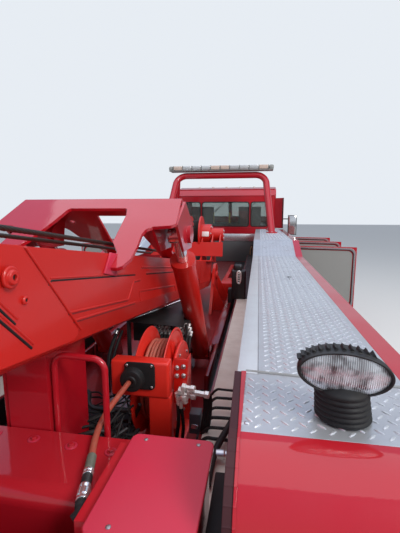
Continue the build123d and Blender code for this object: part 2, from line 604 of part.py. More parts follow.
def boom_outer():
    tube = boom_run(0, 120, BOOM_END) - boom_run(BOOM_WALL, 170, BOOM_END + 10)
    heel = side_slab([(120, -60), (120, 60), (60, 110), (-150, BOOM_H / 2), (-150, -BOOM_H / 2), (0, -100)],
                     -BOOM_FLOOR_HALF, BOOM_FLOOR_HALF)
    heel -= side_slab([(130, -130), (130, 130), (-110, 130), (-110, -130)], -100, 100)
    heel -= rod_x(-220, 220, 0, 0, 45 + PIN_CLEAR)
    tube += heel
    for side in (-1, 1):
        x0, x1 = sorted((side * BOOM_HALF, side * (BOOM_HALF + 16)))
        tube += side_slab([(-3302, BOOM_H / 2), (-3052, -76), (-3076, -95), (-3560, -95), (-3560, BOOM_H / 2)],
                          x0, x1, 10)
        x2, x3 = sorted((side * (BOOM_HALF + 16), side * (BOOM_HALF + 24)))
        tube += rod_x(x2, x3, -3337, 84, 21)
    tube += boom_run(-16, BOOM_END - 60, BOOM_END) - boom_run(BOOM_WALL, BOOM_END - 70, BOOM_END + 10)
    return BOOM_FRAME * tube


YOKE_RIDGE = Vector(0, -3660, 2142)
YOKE_HOLE_X = 236
YOKE_HOLE_RUN = 184


def yoke_plate(outline, inner_left, run_y, run_z, x_dir):
    """A plate that runs down from the ridge, as (x, -distance down the slope); the left half repeats the outline but
    for its own inner edge."""
    down = Vector(0, run_y, run_z).normalized()
    plane = Plane(origin=YOKE_RIDGE, x_dir=x_dir, z_dir=Vector(*x_dir).cross(-down))
    left = outline[:len(outline) - len(inner_left)] + inner_left
    points = outline + [(-x, y) for x, y in reversed(left)]
    plate = extrude(plane * make_face(Polyline(*points, close=True)), amount=14, dir=plane.z_dir)
    return plate, plane


def boom_yoke():
    """Peaked arch over the boom and the two pairs of ears for the lift rods, in truck places."""
    rear = [(380, 0), (396, -205), (378, -218), (305, -228), (284, -246), (276, -280), (281, -362), (279, -434),
            (262, -476), (245, -487), (BOOM_HALF, -487), (BOOM_HALF, -395), (178, -335), (168, -138), (156, -88),
            (146, -82)]
    front = [(380, 0), (397, -220), (330, -230), (300, -275), (285, -345), (250, -440), (BOOM_HALF, -540),
             (BOOM_HALF, -670), (140, -670), (120, -475), (74, -124)]
    part, _ = yoke_plate(rear, [(140, -200), (118, -92), (108, -82)], -0.43, -0.25, (1, 0, 0))
    front_plate, plane = yoke_plate(front, [], 0.857, -0.516, (-1, 0, 0))
    for side in (-1, 1):
        front_plate -= plane * Pos(side * YOKE_HOLE_X, -YOKE_HOLE_RUN, 0) * Cylinder(14, 60)
    part += front_plate + rod_x(-380, 380, YOKE_RIDGE.Y, YOKE_RIDGE.Z, 14)
    ear = [(-3660, 2142), (-3825, 2046), (-3700, 1925), (-3520, 1925), (-3497, 2044)]
    for side in (-1, 1):
        for x in (281, 385):
            x0, x1 = sorted((side * x, side * (x + 12)))
            part += side_slab(ear, x0, x1)
        part += rod_x(side * 265, side * 281, LIFT_TOP_Y, LIFT_TOP_Z, 42)
        part += rod_x(side * 397, side * 413, LIFT_TOP_Y, LIFT_TOP_Z, 42)
    return part - BOOM_FRAME * block(-BOOM_HALF, BOOM_HALF, -3700, -1600, -BOOM_H / 2, BOOM_H / 2)


def boom_stage():
    inset = BOOM_WALL + STAGE_CLEAR
    tube = boom_run(inset, STAGE_START, STAGE_END) + boom_run(BOOM_WALL + SLIDE_GAP, STAGE_START, STAGE_START + 150)
    tube -= boom_run(inset + 10, STAGE_START - 10, STAGE_END - 20)
    cheek = [(-STAGE_END + 60, 120), (-HEAD_END + 130, 120), (-HEAD_END, 60), (-HEAD_END, HEAD_LOW),
             (-HEAD_END + 120, -130), (-STAGE_END + 60, -120)]
    for x in (-190, -60, 48, 178):
        tube += side_slab(cheek, x, x + 12)
    for x in (-118, 118):
        tube += rod_x(x - 22, x + 22, -HEAD_END + 150, 0, 150)
    tube += rod_x(-200, 200, -HEAD_END + 150, 0, 35)
    return BOOM_FRAME * tube


WINCH_RUN = 330
WINCH_RISE = 286


def winches():
    """Two winches side by side on a cross beam, their motors outward."""
    base = BOOM_H / 2
    axis = base + WINCH_RISE
    parts = block(-370, 370, -WINCH_RUN - 150, -WINCH_RUN - 138, base + 54, base + 195)
    parts += block(-264, 264, -560, -120, base, base + 12)
    for side in (-1, 1):
        parts += rod_x(side * 8, side * 125, -WINCH_RUN, axis, 90)
        for x in (8, 122):
            parts += rod_x(side * x, side * (x + 16), -WINCH_RUN, axis, 188)
        parts += rod_x(side * 138, side * 235, -WINCH_RUN, axis, 105)
        parts += rod_x(side * 235, side * 362, -WINCH_RUN, axis, 66)
        for x in (150, 252):
            x0, x1 = sorted((side * x, side * (x + 12)))
            parts += side_slab([(-130, base), (-WINCH_RUN + 60, axis), (-WINCH_RUN - 60, axis),
                                (-WINCH_RUN - 140, base + 195), (-WINCH_RUN - 140, base + 54), (-560, base)], x0, x1)
        x2, x3 = sorted((side * 330, side * 342))
        parts += side_slab([(-WINCH_RUN + 40, base + 54), (-WINCH_RUN + 40, axis), (-WINCH_RUN - 60, axis),
                            (-WINCH_RUN - 138, base + 195), (-WINCH_RUN - 138, base + 54)], x2, x3)
    return BOOM_FRAME * parts


# Boom lift cylinders
LIFT_RUN = Vector(0, LIFT_TOP_Y - LIFT_BASE_Y, LIFT_TOP_Z - LIFT_BASE_Z)
LIFT_LENGTH = LIFT_RUN.length
BARREL_LENGTH = LIFT_LENGTH - 170


def along_lift(distance):
    step = LIFT_RUN.normalized() * distance
    return (LIFT_X, LIFT_BASE_Y + step.Y, LIFT_BASE_Z + step.Z)


def lift_barrel(side):
    eye = rod_x(LIFT_X - 55, LIFT_X + 55, LIFT_BASE_Y, LIFT_BASE_Z, 52)
    barrel = eye + rod_between(along_lift(40), along_lift(BARREL_LENGTH), BARREL_R)
    barrel += rod_between(along_lift(BARREL_LENGTH - 30), along_lift(BARREL_LENGTH), BARREL_R + 5)
    barrel -= rod_between(along_lift(90), along_lift(BARREL_LENGTH + 10), ROD_R + 0.5)
    barrel -= rod_x(LIFT_X - 60, LIFT_X + 60, LIFT_BASE_Y, LIFT_BASE_Z, LIFT_PIN_R + PIN_CLEAR)
    return barrel if side > 0 else mirrored(barrel)


def lift_rod(side):
    rod = rod_between(along_lift(110), along_lift(LIFT_LENGTH - 30), ROD_R)
    rod += rod_x(LIFT_X - 38, LIFT_X + 38, LIFT_TOP_Y, LIFT_TOP_Z, 45)
    return rod if side > 0 else mirrored(rod)


# Equipment on the deck
REST_GAP = 6


def deck_box():
    top = block(-345, 345, -4500, -4260, DECK_Z, 1400)
    near_top = top.edges().filter_by(Axis.X).group_by(Axis.Y)[0].sort_by(Axis.Z)[-1]
    part = fillet(near_top, 45)
    for side in (-1, 1):
        x0, x1 = sorted((side * 376, side * 611))
        part += flat_slab([(x0, -4640), (x1, -4640), (x1, -4310), (x0, -4310)], 1448, 1460, 22)
        part += block(min(side * 345, side * 498), max(side * 345, side * 498), -4600, -4340, DECK_Z, 1448)
        part += block(min(side * 498, side * 600), max(side * 498, side * 600), -4600, -4340, LEDGE_Z, 1448)
    rest_top = [(y, boom_face_z(y, -1) - REST_GAP) for y in (-4256, -4010)]
    part += side_slab([(-4256, DECK_Z), *rest_top, (-4010, DECK_Z)], -72, 72)
    handle = bent_tube([(88, -4238, DECK_Z), (88, -4238, 1652), (258, -4238, 1646), (258, -4238, DECK_Z)], 10, 40)
    return part + handle + mirrored(handle)


def hose_reels():
    part = None
    for x in (262, 300, 350, 392):
        disc = rod_x(x, x + 5, -3720, 1400, 200)
        part = disc if part is None else part + disc
    part += rod_x(250, 410, -3720, 1400, 60)
    part += rod_x(267, 300, -3720, 1400, 150) + rod_x(355, 392, -3720, 1400, 150)
    part += block(310, 345, -3960, -3560, DECK_Z, 1440)
    part += block(149, 387, -3960, -3900, 1369, 1517)
    part += rod_y(-3990, -3955, 238, 1445, 40)
    return part


def valve_bank():
    part = block(60, 250, -3330, -2990, DECK_Z, 1330)
    part += block(60, 260, -3340, -2980, 1330, 1342)
    for i in range(6):
        part += rod_z(1342, 1400, 95 + i * 28, -3200, 8)
    return part


LAMP_X = 930
LAMP_Y = -4370


def lamp_cluster():
    solids = []
    for side in (-1, 1):
        x = side * LAMP_X
        boot = rod_z(BOX_LOW_Z, 1655, x, LAMP_Y + 10, 55)
        head = Pos(x, LAMP_Y, 1727) * Rot(90, 0, 0) * extrude(Ellipse(104, 56), amount=70, both=False)
        solids.append(boot + head + block(x - 25, x + 25, LAMP_Y - 20, LAMP_Y + 20, 1640, 1690))
        for z in (1150, 1290):
            solids.append(rod_y(BODY_REAR_Y - 25, BODY_REAR_Y, side * 940, z, 55))
    return Compound(solids)


def light_arch():
    tube_r = 57
    foot_x = 943
    main = bent_tube([(foot_x, 900, BOX_HIGH_Z), (820, 1470, 2775), (-820, 1470, 2775), (-foot_x, 900, BOX_HIGH_Z)],
                     tube_r, 200)
    part = main
    for side in (-1, 1):
        part += rod_z(BOX_HIGH_Z, BOX_HIGH_Z + 20, side * foot_x, 900, 95)
        part += rod_between((side * foot_x, 1850, BOX_HIGH_Z), (side * 815, 1480, 2690), 45)
        part += rod_z(BOX_HIGH_Z, BOX_HIGH_Z + 20, side * foot_x, 1850, 80)
    return part - block(-1200, 1200, 600, 2200, BOX_HIGH_Z - 200, BOX_HIGH_Z)


def light_bar():
    bar = Pos(0, 1470, 2900) * Box(1930, 300, 95)
    bar = fillet(bar.edges().filter_by(Axis.Z), 60)
    return bar + block(-500, -440, 1400, 1540, 2832.3, 2853) + block(440, 500, 1400, 1540, 2832.3, 2853)


def mirrors():
    solids = []
    for side in (-1, 1):
        x0, x1 = sorted((side * 1420, side * 1620))
        head = block(x0, x1, 3560, 3640, 1560, 2030)
        arm = rod_between((side * (CAB_HALF + 6), 3820, 1940), (side * 1520, 3600, 1940), 12)
        arm += rod_between((side * (CAB_HALF + 6), 3820, 1600), (side * 1520, 3600, 1600), 12)
        x2, x3 = sorted((side * CAB_HALF, side * (CAB_HALF + 14)))
        arm += block(x2, x3, 3800, 3840, 1580, 1960)
        solids.append(head + arm - block(-CAB_HALF, CAB_HALF, 3600, 3900, 1500, 2000))
    return Compound(solids)


def cab_fairings():
    """Upright fins that carry the cab's sides back over the toolboxes."""
    solids = []
    for side in (-1, 1):
        pts = [(side * (CAB_HALF - 30), 2500), (side * (BODY_HALF - 5), 2330), (side * (BODY_HALF + 2), 2336),
               (side * (CAB_HALF - 8), 2520)]
        solids.append(flat_slab(pts, 1770, 2395))
    return Compound(solids)


# Wheel lift, folded up behind the truck
def lift_arm():
    part = block(-90, 90, LIFT_ARM_Y - 70, LIFT_ARM_Y + 70, LIFT_ARM_Z - 60, LIFT_ARM_Z + LIFT_ARM_LEN)
    part -= block(-78, 78, LIFT_ARM_Y - 58, LIFT_ARM_Y + 58, LIFT_ARM_Z + 90, LIFT_ARM_Z + LIFT_ARM_LEN + 10)
    part -= rod_x(-100, 100, LIFT_ARM_Y, LIFT_ARM_Z, 30 + PIN_CLEAR)
    return part


def lift_arm_inner():
    foot = LIFT_ARM_Z + 130
    part = block(-70, 70, LIFT_ARM_Y - 50, LIFT_ARM_Y + 50, foot, LIFT_ARM_Z + LIFT_ARM_LEN + 90)
    part += block(-78 + SLIDE_GAP, 78 - SLIDE_GAP, LIFT_ARM_Y - 58 + SLIDE_GAP, LIFT_ARM_Y + 58 - SLIDE_GAP,
                  foot, foot + 60)
    part += rod_y(LIFT_ARM_Y - 185, LIFT_ARM_Y - 50, 0, LIFT_ARM_Z + LIFT_ARM_LEN + 50, 35)
    return part


def lift_crossbar():
    z = LIFT_ARM_Z + LIFT_ARM_LEN + 50
    part = block(-CROSSBAR_HALF, CROSSBAR_HALF, LIFT_ARM_Y - 180, LIFT_ARM_Y - 80, z - 55, z + 55)
    part -= rod_y(LIFT_ARM_Y - 190, LIFT_ARM_Y - 70, 0, z, 35 + PIN_CLEAR)
    for side in (-1, 1):
        for x in (250, 420):
            part -= rod_z(z - 60, z + 60, side * x, LIFT_ARM_Y - 130, 22)
    return part


# Air hose from the reel's guide, lying over the deck box
HOSE_R = 10
HOSE_POINTS = [(238, -3990, 1446), (238, -4045, 1446), (232, -4102, 1438), (226, -4160, 1429),
               (227, -4218, 1419), (237, -4275, 1413), (254, -4330, 1412), (275, -4383, 1413), (292, -4435, 1413)]


def hose_radii():
    """Each bend takes 0.45 of its shorter run on either side of the corner."""
    points = [Vector(*point) for point in HOSE_POINTS]
    radii = []
    for before, corner, after in zip(points, points[1:], points[2:]):
        turn = math.radians((corner - before).get_angle(after - corner))
        run = min((corner - before).length, (after - corner).length)
        radii.append(0.45 * run / math.tan(turn / 2))
    return radii


def air_hose():
    radii = hose_radii()
    print("air hose radii", [round(radius) for radius in radii])
    path = FilletPolyline(*HOSE_POINTS, radius=radii)
    print("air hose length", round(path.length))
    return sweep(Plane(origin=path @ 0, z_dir=path % 0) * Circle(HOSE_R), path=path)


def hose_coupler():
    before, end = (Vector(*point) for point in HOSE_POINTS[-2:])
    run = (end - before).normalized()
    sleeve = rod_between(tuple(end), tuple(end + run * 26), 12)
    return sleeve + rod_between(tuple(end + run * 26), tuple(end + run * 62), 11)


def engine_block():
    part = block(-330, 330, 4020, 5080, 830, 1700)
    for y in (4180, 4880):
        foot = block(320, 410, y, y + 80, FRAME_TOP_Z, FRAME_TOP_Z + 30)
        part += foot + mirrored(foot)
    return part


save("chassis_frame", chassis_frame())
save("engine_block", engine_block())
save("axles", Compound([front_axle(), rear_axles()]))
save("cab_shell", cab_shell() + cab_fairings())
save("cab_glass", cab_glass())
save("cab_interior", cab_interior())
save("front_bumper", front_bumper())
save("fuel_tanks", fuel_tanks())
save("deck", deck())
save("boom_pedestal", boom_pedestal())
save("tool_body_right", tool_body_right())
save("tool_body_left", mirrored(tool_body_right()))
save("tread_plates", both_sides(tread_plate_right()))
save("deck_box", deck_box())
save("hose_reels", hose_reels())
save("valve_bank", valve_bank())
save("lamp_cluster", lamp_cluster())
save("light_arch", light_arch())
save("light_bar", light_bar())
save("mirrors", mirrors())
save("air_hose", air_hose())
save("hose_coupler", hose_coupler())
save("hood", hood())
save("grille", grille())
save("boom_outer", boom_outer())
save("boom_yoke", boom_yoke())
save("boom_stage", boom_stage())
save("winches", winches())
save("lift_arm", lift_arm())
save("lift_arm_inner", lift_arm_inner())
save("lift_crossbar", lift_crossbar())
for name, sign in (("left", -1), ("right", 1)):
    tyre_solid, rim_solid = front_wheel(sign)
    save(f"front_tyre_{name}", tyre_solid)
    save(f"front_rim_{name}", rim_solid)
    save(f"knuckle_{name}", knuckle(sign))
    for number, axle_y in enumerate(REAR_AXLE_YS, start=1):
        tyre_pair, rim_pair = rear_wheel(sign, axle_y)
        save(f"rear_tyres_{number}_{name}", tyre_pair)
        save(f"rear_rims_{number}_{name}", rim_pair)
    for number, hinge_y in enumerate(DOOR_HINGE_YS, start=1):
        save(f"box_door_{number}_{name}", toolbox_door(hinge_y, sign))
    save(f"cab_door_{name}", cab_door(sign))
    save(f"cab_door_glass_{name}", cab_door_glass(sign))
    save(f"lift_barrel_{name}", lift_barrel(sign))
    save(f"lift_rod_{name}", lift_rod(sign))
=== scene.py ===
import random
from contextlib import contextmanager
from math import atan2, cos, hypot, pi, radians, sin, sqrt

import bpy
from mathutils import Matrix, Vector


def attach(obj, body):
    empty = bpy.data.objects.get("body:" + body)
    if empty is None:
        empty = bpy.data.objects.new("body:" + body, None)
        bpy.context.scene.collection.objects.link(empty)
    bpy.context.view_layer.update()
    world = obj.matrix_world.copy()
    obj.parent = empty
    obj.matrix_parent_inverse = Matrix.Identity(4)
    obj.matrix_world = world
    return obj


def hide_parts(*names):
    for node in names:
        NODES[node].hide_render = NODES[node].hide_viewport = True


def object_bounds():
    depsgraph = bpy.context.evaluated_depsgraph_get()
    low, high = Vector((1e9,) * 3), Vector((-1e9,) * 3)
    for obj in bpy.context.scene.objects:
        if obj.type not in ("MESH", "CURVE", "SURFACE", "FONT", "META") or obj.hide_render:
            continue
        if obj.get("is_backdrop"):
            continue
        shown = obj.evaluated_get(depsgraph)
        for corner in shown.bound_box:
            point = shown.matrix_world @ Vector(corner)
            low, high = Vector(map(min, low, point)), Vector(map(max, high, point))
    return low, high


# A heavy recovery truck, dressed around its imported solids. Metres; +X is the truck's right and +Y its front.
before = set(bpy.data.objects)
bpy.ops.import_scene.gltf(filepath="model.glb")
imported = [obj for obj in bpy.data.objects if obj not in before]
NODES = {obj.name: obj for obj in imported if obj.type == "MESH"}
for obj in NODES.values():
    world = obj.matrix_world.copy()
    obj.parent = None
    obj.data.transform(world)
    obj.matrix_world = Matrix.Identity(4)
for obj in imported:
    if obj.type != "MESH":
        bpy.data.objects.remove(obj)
cad_low, cad_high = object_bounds()
random.seed(7)

# Camera, solved from the photograph
CAMERA_PLACE = (0.717, -5.2, 2.095)
CAMERA_PITCH_DEG = 8.77
CAMERA_YAW_DEG = 9.43
FOCAL_PX = 350
PHOTO_HEIGHT_PX = 533
SENSOR_MM = 36

# Tread plate and its lugs
LUG_PITCH = 0.042
LUG_LENGTH = 0.029
LUG_WIDTH = 0.0084
LUG_HEIGHT = 0.0024
LUG_TAPER = 0.62
TREAD_X0 = 0.7275
TREAD_X1 = 1.14
PLATE_INNER_X = 0.662
LOW_Z = 1.6
HIGH_Z = 1.75
SEAM_Y = -4.165
PLATE_REAR_Y = -4.458
RAMP_LOW_Y = -1.12
RAMP_HIGH_Y = -0.64
PLATE_FRONT_Y = 2.3

# Faces and levels that pieces are set on
DECK_Z = 1.0502
RAIL_FOOT_Z = 1.0515
REEL_FOOT_Z = 1.052
LEDGE_Z = 1.2002
BOX_TOP_Z = 1.4004
COVER_TOP_Z = 1.4602
LEDGE_X0 = 0.5125
LEDGE_X1 = 0.6605
SIDE_X = 1.2195
UNION_Y = -3.925
HOOD_FACE_Y = 5.3985
REAR_FACE_Y = -4.6495
AXLE_Z = 0.525

# Directions that turned pieces and bolts point in
RIGHT = (1, 0, 0)
FRONT = (0, 1, 0)
REAR = (0, -1, 0)
UP = (0, 0, 1)


# Small modelling tools
def only(piece):
    """Selects one piece and makes it the active one."""
    bpy.ops.object.select_all(action="DESELECT")
    piece.select_set(True)
    bpy.context.view_layer.objects.active = piece
    return piece


def active():
    return bpy.context.view_layer.objects.active


def applied(piece):
    only(piece)
    bpy.ops.object.transform_apply(location=True, rotation=True, scale=True)
    return piece


def moved(piece, *steps):
    """Moves the mesh by the product of some matrices."""
    matrix = Matrix()
    for step in steps:
        matrix = matrix @ step
    piece.data.transform(matrix)
    return piece


def shift(x, y, z):
    return Matrix.Translation((x, y, z))


def turned(degrees, axis):
    return Matrix.Rotation(radians(degrees), 4, axis)


def with_modifiers(piece, *steps):
    """Adds and applies modifiers, each given as (type, {setting: value})."""
    only(piece)
    for kind, settings in steps:
        modifier = piece.modifiers.new(kind.lower(), kind)
        for key, value in settings.items():
            setattr(modifier, key, value)
        bpy.ops.object.modifier_apply(modifier=modifier.name)
    return piece


def rounded(piece, width, segments=2, angle=35):
    settings = {"width": width, "segments": segments, "limit_method": "ANGLE", "angle_limit": radians(angle)}
    return with_modifiers(piece, ("BEVEL", settings))


@contextmanager
def editing(piece):
    """Edit mode with the whole of one mesh selected."""
    only(piece)
    bpy.ops.object.mode_set(mode="EDIT")
    bpy.ops.mesh.select_all(action="SELECT")
    yield
    bpy.ops.object.mode_set(mode="OBJECT")


def joined(pieces):
    bpy.ops.object.select_all(action="DESELECT")
    for piece in pieces:
        piece.select_set(True)
    bpy.context.view_layer.objects.active = pieces[0]
    if len(pieces) > 1:
        bpy.ops.object.join()
    return active()


def finished(piece, name, material, body="chassis", angle=35):
    """Joins a list, names the piece, gives it its finish, seats its place in its mesh and lets it ride."""
    piece = applied(joined(piece) if isinstance(piece, list) else piece)
    piece.name = name
    piece.data.name = name
    piece.data.materials.clear()
    piece.data.materials.append(material)
    bpy.ops.object.shade_smooth_by_angle(angle=radians(angle))
    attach(piece, body)
    return piece


def copy_of(piece, matrix):
    twin = piece.copy()
    twin.data = piece.data.copy()
    bpy.context.scene.collection.objects.link(twin)
    return moved(twin, matrix)


def pair(piece, name, material, body="chassis"):
    """Finishes a right-hand piece and its mirror twin; SIDE in a body's name stands for the side."""
    piece = joined(piece) if isinstance(piece, list) else piece
    twin = copy_of(piece, Matrix.Scale(-1, 4, (1, 0, 0)))
    with editing(twin):
        bpy.ops.mesh.flip_normals()
    right = finished(piece, name + "_right", material, body.replace("SIDE", "right"))
    finished(twin, name + "_left", material, body.replace("SIDE", "left"))
    return right


def slab(x0, y0, z0, x1, y1, z1, bevel=0.0, segments=2):
    """A box between two corners with its edges rounded."""
    bpy.ops.object.select_all(action="DESELECT")
    bpy.ops.mesh.primitive_cube_add(size=1, location=((x0 + x1) / 2, (y0 + y1) / 2, (z0 + z1) / 2))
    piece = active()
    piece.scale = (abs(x1 - x0), abs(y1 - y0), abs(z1 - z0))
    applied(piece)
    return rounded(piece, bevel, segments) if bevel else piece


def slabs(*rows):
    return [slab(*row) for row in rows]


def disc(count, radius=1, height=0, fill="NGON"):
    bpy.ops.object.select_all(action="DESELECT")
    bpy.ops.mesh.primitive_circle_add(vertices=count, radius=radius, fill_type=fill, location=(0, 0, height))
    return active()


def drawn_up(piece, steps):
    """Extrudes a disc by (rise, growth, height) steps and turns all its faces outward."""
    with editing(piece):
        for rise, growth, height in steps:
            bpy.ops.mesh.extrude_region_move(TRANSFORM_OT_translate={"value": (0, 0, rise)})
            bpy.ops.transform.resize(value=(growth, growth, 1), center_override=(0, 0, height))
        bpy.ops.mesh.select_all(action="SELECT")
        bpy.ops.mesh.normals_make_consistent(inside=False)
    return piece


def turning(rings, sides=48, place=(0, 0, 0), axis=UP):
    """A turned piece, drawn up ring by ring from a disc; rings are (height along the axis, radius)."""
    steps = [(b[0] - a[0], b[1] / a[1], b[0]) for a, b in zip(rings, rings[1:])]
    piece = drawn_up(applied(disc(sides, rings[0][1], rings[0][0])), steps)
    piece.rotation_mode = "QUATERNION"
    piece.rotation_quaternion = Vector(axis).to_track_quat("Z", "Y")
    piece.location = place
    return applied(piece)


def turnings(rings, sides, places, axis=UP):
    return [turning(rings, sides, place, axis) for place in places]


def plate(outline, thickness, place=Matrix(), bevel=0.0):
    """A flat plate drawn on the XY plane, thickened upward and put in place."""
    piece = disc(len(outline))
    for vertex, (x, y) in zip(piece.data.vertices, outline):
        vertex.co = (x, y, 0)
    drawn_up(piece, [(thickness, 1, thickness)])
    if bevel:
        rounded(piece, bevel, 2, 20)
    return moved(piece, place)


def upright_plate(x, outline, thickness, bevel=0.0):
    """A plate in a plane of constant x, from (y, z) points, thickened toward +x."""
    turn = Matrix(((0, 0, 1, x), (1, 0, 0, 0), (0, 1, 0, 0), (0, 0, 0, 1)))
    return plate(outline, thickness, turn, bevel)


def ring_plate(x, outer, inner, thickness):
    """A flat ring between two outlines, in a plane of constant x."""
    sheet = upright_plate(x, outer, thickness)
    hole = upright_plate(x - 0.01, inner, thickness + 0.02)
    with_modifiers(sheet, ("BOOLEAN", {"operation": "DIFFERENCE", "object": hole, "solver": "EXACT"}))
    bpy.data.objects.remove(hole)
    return sheet


def corners(x0, x1, y0, y1, radius, steps=5):
    """Outline of a rectangle with round corners."""
    points = []
    for cx, cy, start in (
            (x1 - radius, y0 + radius, -90), (x1 - radius, y1 - radius, 0), (x0 + radius, y1 - radius, 90),
            (x0 + radius, y0 + radius, 180)):
        for step in range(steps + 1):
            angle = radians(start + 90 * step / steps)
            points.append((cx + radius * cos(angle), cy + radius * sin(angle)))
    return points


def inset(box, margin, radius, steps=5):
    x0, x1, y0, y1 = box
    return corners(x0 + margin, x1 - margin, y0 + margin, y1 - margin, radius, steps)


def around(place, reach, count, start=0, axes=(1, 2)):
    """Places evenly round a circle in the plane of two axes; reach may differ along each."""
    reaches = reach if isinstance(reach, tuple) else (reach, reach)
    places = []
    for k in range(count):
        angle = radians(start) + 2 * pi * k / count
        spot = list(place)
        spot[axes[0]] += reaches[0] * cos(angle)
        spot[axes[1]] += reaches[1] * sin(angle)
        places.append(tuple(spot))
    return places


def smooth_line(points, radius, order=3, resolution=6, sides=6, cyclic=False):
    """A round curve through given points; order 2 keeps its corners."""
    line = bpy.data.curves.new("line", "CURVE")
    line.dimensions = "3D"
    line.bevel_depth = radius
    line.bevel_resolution = sides
    line.use_fill_caps = not cyclic
    line.resolution_u = resolution
    spline = line.splines.new("NURBS" if order > 2 else "POLY")
    spline.points.add(len(points) - 1)
    for point, place in zip(spline.points, points):
        point.co = (*place, 1)
    if order > 2:
        spline.order_u = order
        spline.use_endpoint_u = not cyclic
    spline.use_cyclic_u = cyclic
    piece = bpy.data.objects.new("line", line)
    bpy.context.scene.collection.objects.link(piece)
    return piece


def tube(points, radius, resolution=6, sides=6, order=3, cyclic=False):
    """The same line as a mesh."""
    only(smooth_line(points, radius, order, resolution, sides, cyclic))
    bpy.ops.object.convert(target="MESH")
    return active()


def seam(points, radius, cyclic=False):
    """A thin round bead along straight runs."""
    return tube(points, radius, 1, 3, 2, cyclic)


def bolt(place, axis=UP, across=0.019, height=0.008, washer=0.014):
    """A hexagon head on a round washer."""
    head = turning(
        [(0.002, across / 2), (height * 0.85, across / 2), (height, across * 0.42)], 6, place, axis)
    ring = turning([(0, washer), (0.0022, washer), (0.0028, washer * 0.94)], 24, place, axis)
    return joined([head, ring])


def bolts(places, axis, across, height, washer):
    return [bolt(place, axis, across, height, washer) for place in places]


# Shader nodes and groups
def add(tree, kind, inputs=None, **settings):
    """A shader node; each of its inputs is set to a value or linked from another node's output."""
    node = tree.nodes.new("ShaderNode" + kind)
    for key, value in settings.items():
        setattr(node, key, value)
    for label, value in (inputs or {}).items():
        if isinstance(value, bpy.types.NodeSocket):
            tree.links.new(value, node.inputs[label])
        else:
            node.inputs[label].default_value = value
    return node.outputs


def calc(tree, operation, *values, clamp=False):
    return add(tree, "Math", dict(enumerate(values)), operation=operation, use_clamp=clamp)[0]


def new_group(name, inputs, outputs):
    """A shader node group with these inputs and their defaults, and these outputs."""
    group = bpy.data.node_groups.new(name, "ShaderNodeTree")
    for label, value in inputs.items():
        kind = "NodeSocketVector" if isinstance(value, tuple) else "NodeSocketFloat"
        group.interface.new_socket(name=label, in_out="INPUT", socket_type=kind).default_value = value
    for label in outputs:
        kind = "NodeSocketVector" if label == "Normal" else "NodeSocketFloat"
        group.interface.new_socket(name=label, in_out="OUTPUT", socket_type=kind)
    where = group.nodes.new("ShaderNodeTexCoord").outputs["Object"]
    return group, group.nodes.new("NodeGroupInput").outputs, where


def put_out(group, **values):
    end = group.nodes.new("NodeGroupOutput")
    for label, value in values.items():
        group.links.new(value, end.inputs[label])
    return group


def make_grain_group():
    """Surface relief with softened edges: fine orange peel or casting grain, and slow waves in panels."""
    group, start, where = new_group(
        "surface_grain", {"Scale": 200.0, "Depth": 0.0001, "Edge": 0.003, "Wave": 0.0}, ["Normal"])
    noise = add(group, "TexNoise", {"Vector": where, "Scale": start["Scale"], "Detail": 3.0})
    edge = add(group, "Bevel", {"Radius": start["Edge"]}, samples=4)
    bump = add(group, "Bump", {"Height": noise["Fac"], "Distance": start["Depth"], "Normal": edge["Normal"]})
    swell = add(group, "TexNoise", {"Vector": where, "Scale": 3.2, "Detail": 1.0})
    wavy = add(group, "Bump", {"Height": swell["Fac"], "Distance": start["Wave"], "Normal": bump["Normal"]})
    return put_out(group, Normal=wavy["Normal"])


def make_dust_group():
    """Dust and water marks: more on faces that look up, in soft patches."""
    group, start, where = new_group("road_dust", {"Amount": 0.3, "Patch": 3.0}, ["Mask", "Patches"])
    patch = add(group, "TexNoise", {"Vector": where, "Scale": start["Patch"], "Detail": 6, "Roughness": 0.62})
    shape = add(group, "NewGeometry")
    split = add(group, "SeparateXYZ", {0: shape["Normal"]})
    upward = calc(group, "MAXIMUM", split["Z"], 0.0)
    lifted = calc(group, "MULTIPLY_ADD", upward, 0.75, 0.25)
    spots = add(group, "MapRange", {"Value": patch["Fac"], "From Min": 0.42, "From Max": 0.72})
    mask = calc(group, "MULTIPLY", spots["Result"], lifted)
    return put_out(
        group, Mask=calc(group, "MULTIPLY", mask, start["Amount"], clamp=True), Patches=patch["Fac"])


def make_streak_group():
    """Long brushed streaks along one direction."""
    group, start, where = new_group(
        "metal_streaks", {"Stretch": (1.0, 40.0, 40.0), "Scale": 12.0}, ["Fac", "Normal"])
    stretch = add(group, "VectorMath", {0: where, 1: start["Stretch"]}, operation="MULTIPLY")
    noise = add(group, "TexNoise", {"Vector": stretch[0], "Scale": start["Scale"], "Detail": 5})
    edge = add(group, "Bevel", {"Radius": 0.003}, samples=4)
    bump = add(group, "Bump", {"Height": noise["Fac"], "Distance": 0.0002, "Normal": edge["Normal"]})
    return put_out(group, Fac=noise["Fac"], Normal=bump["Normal"])


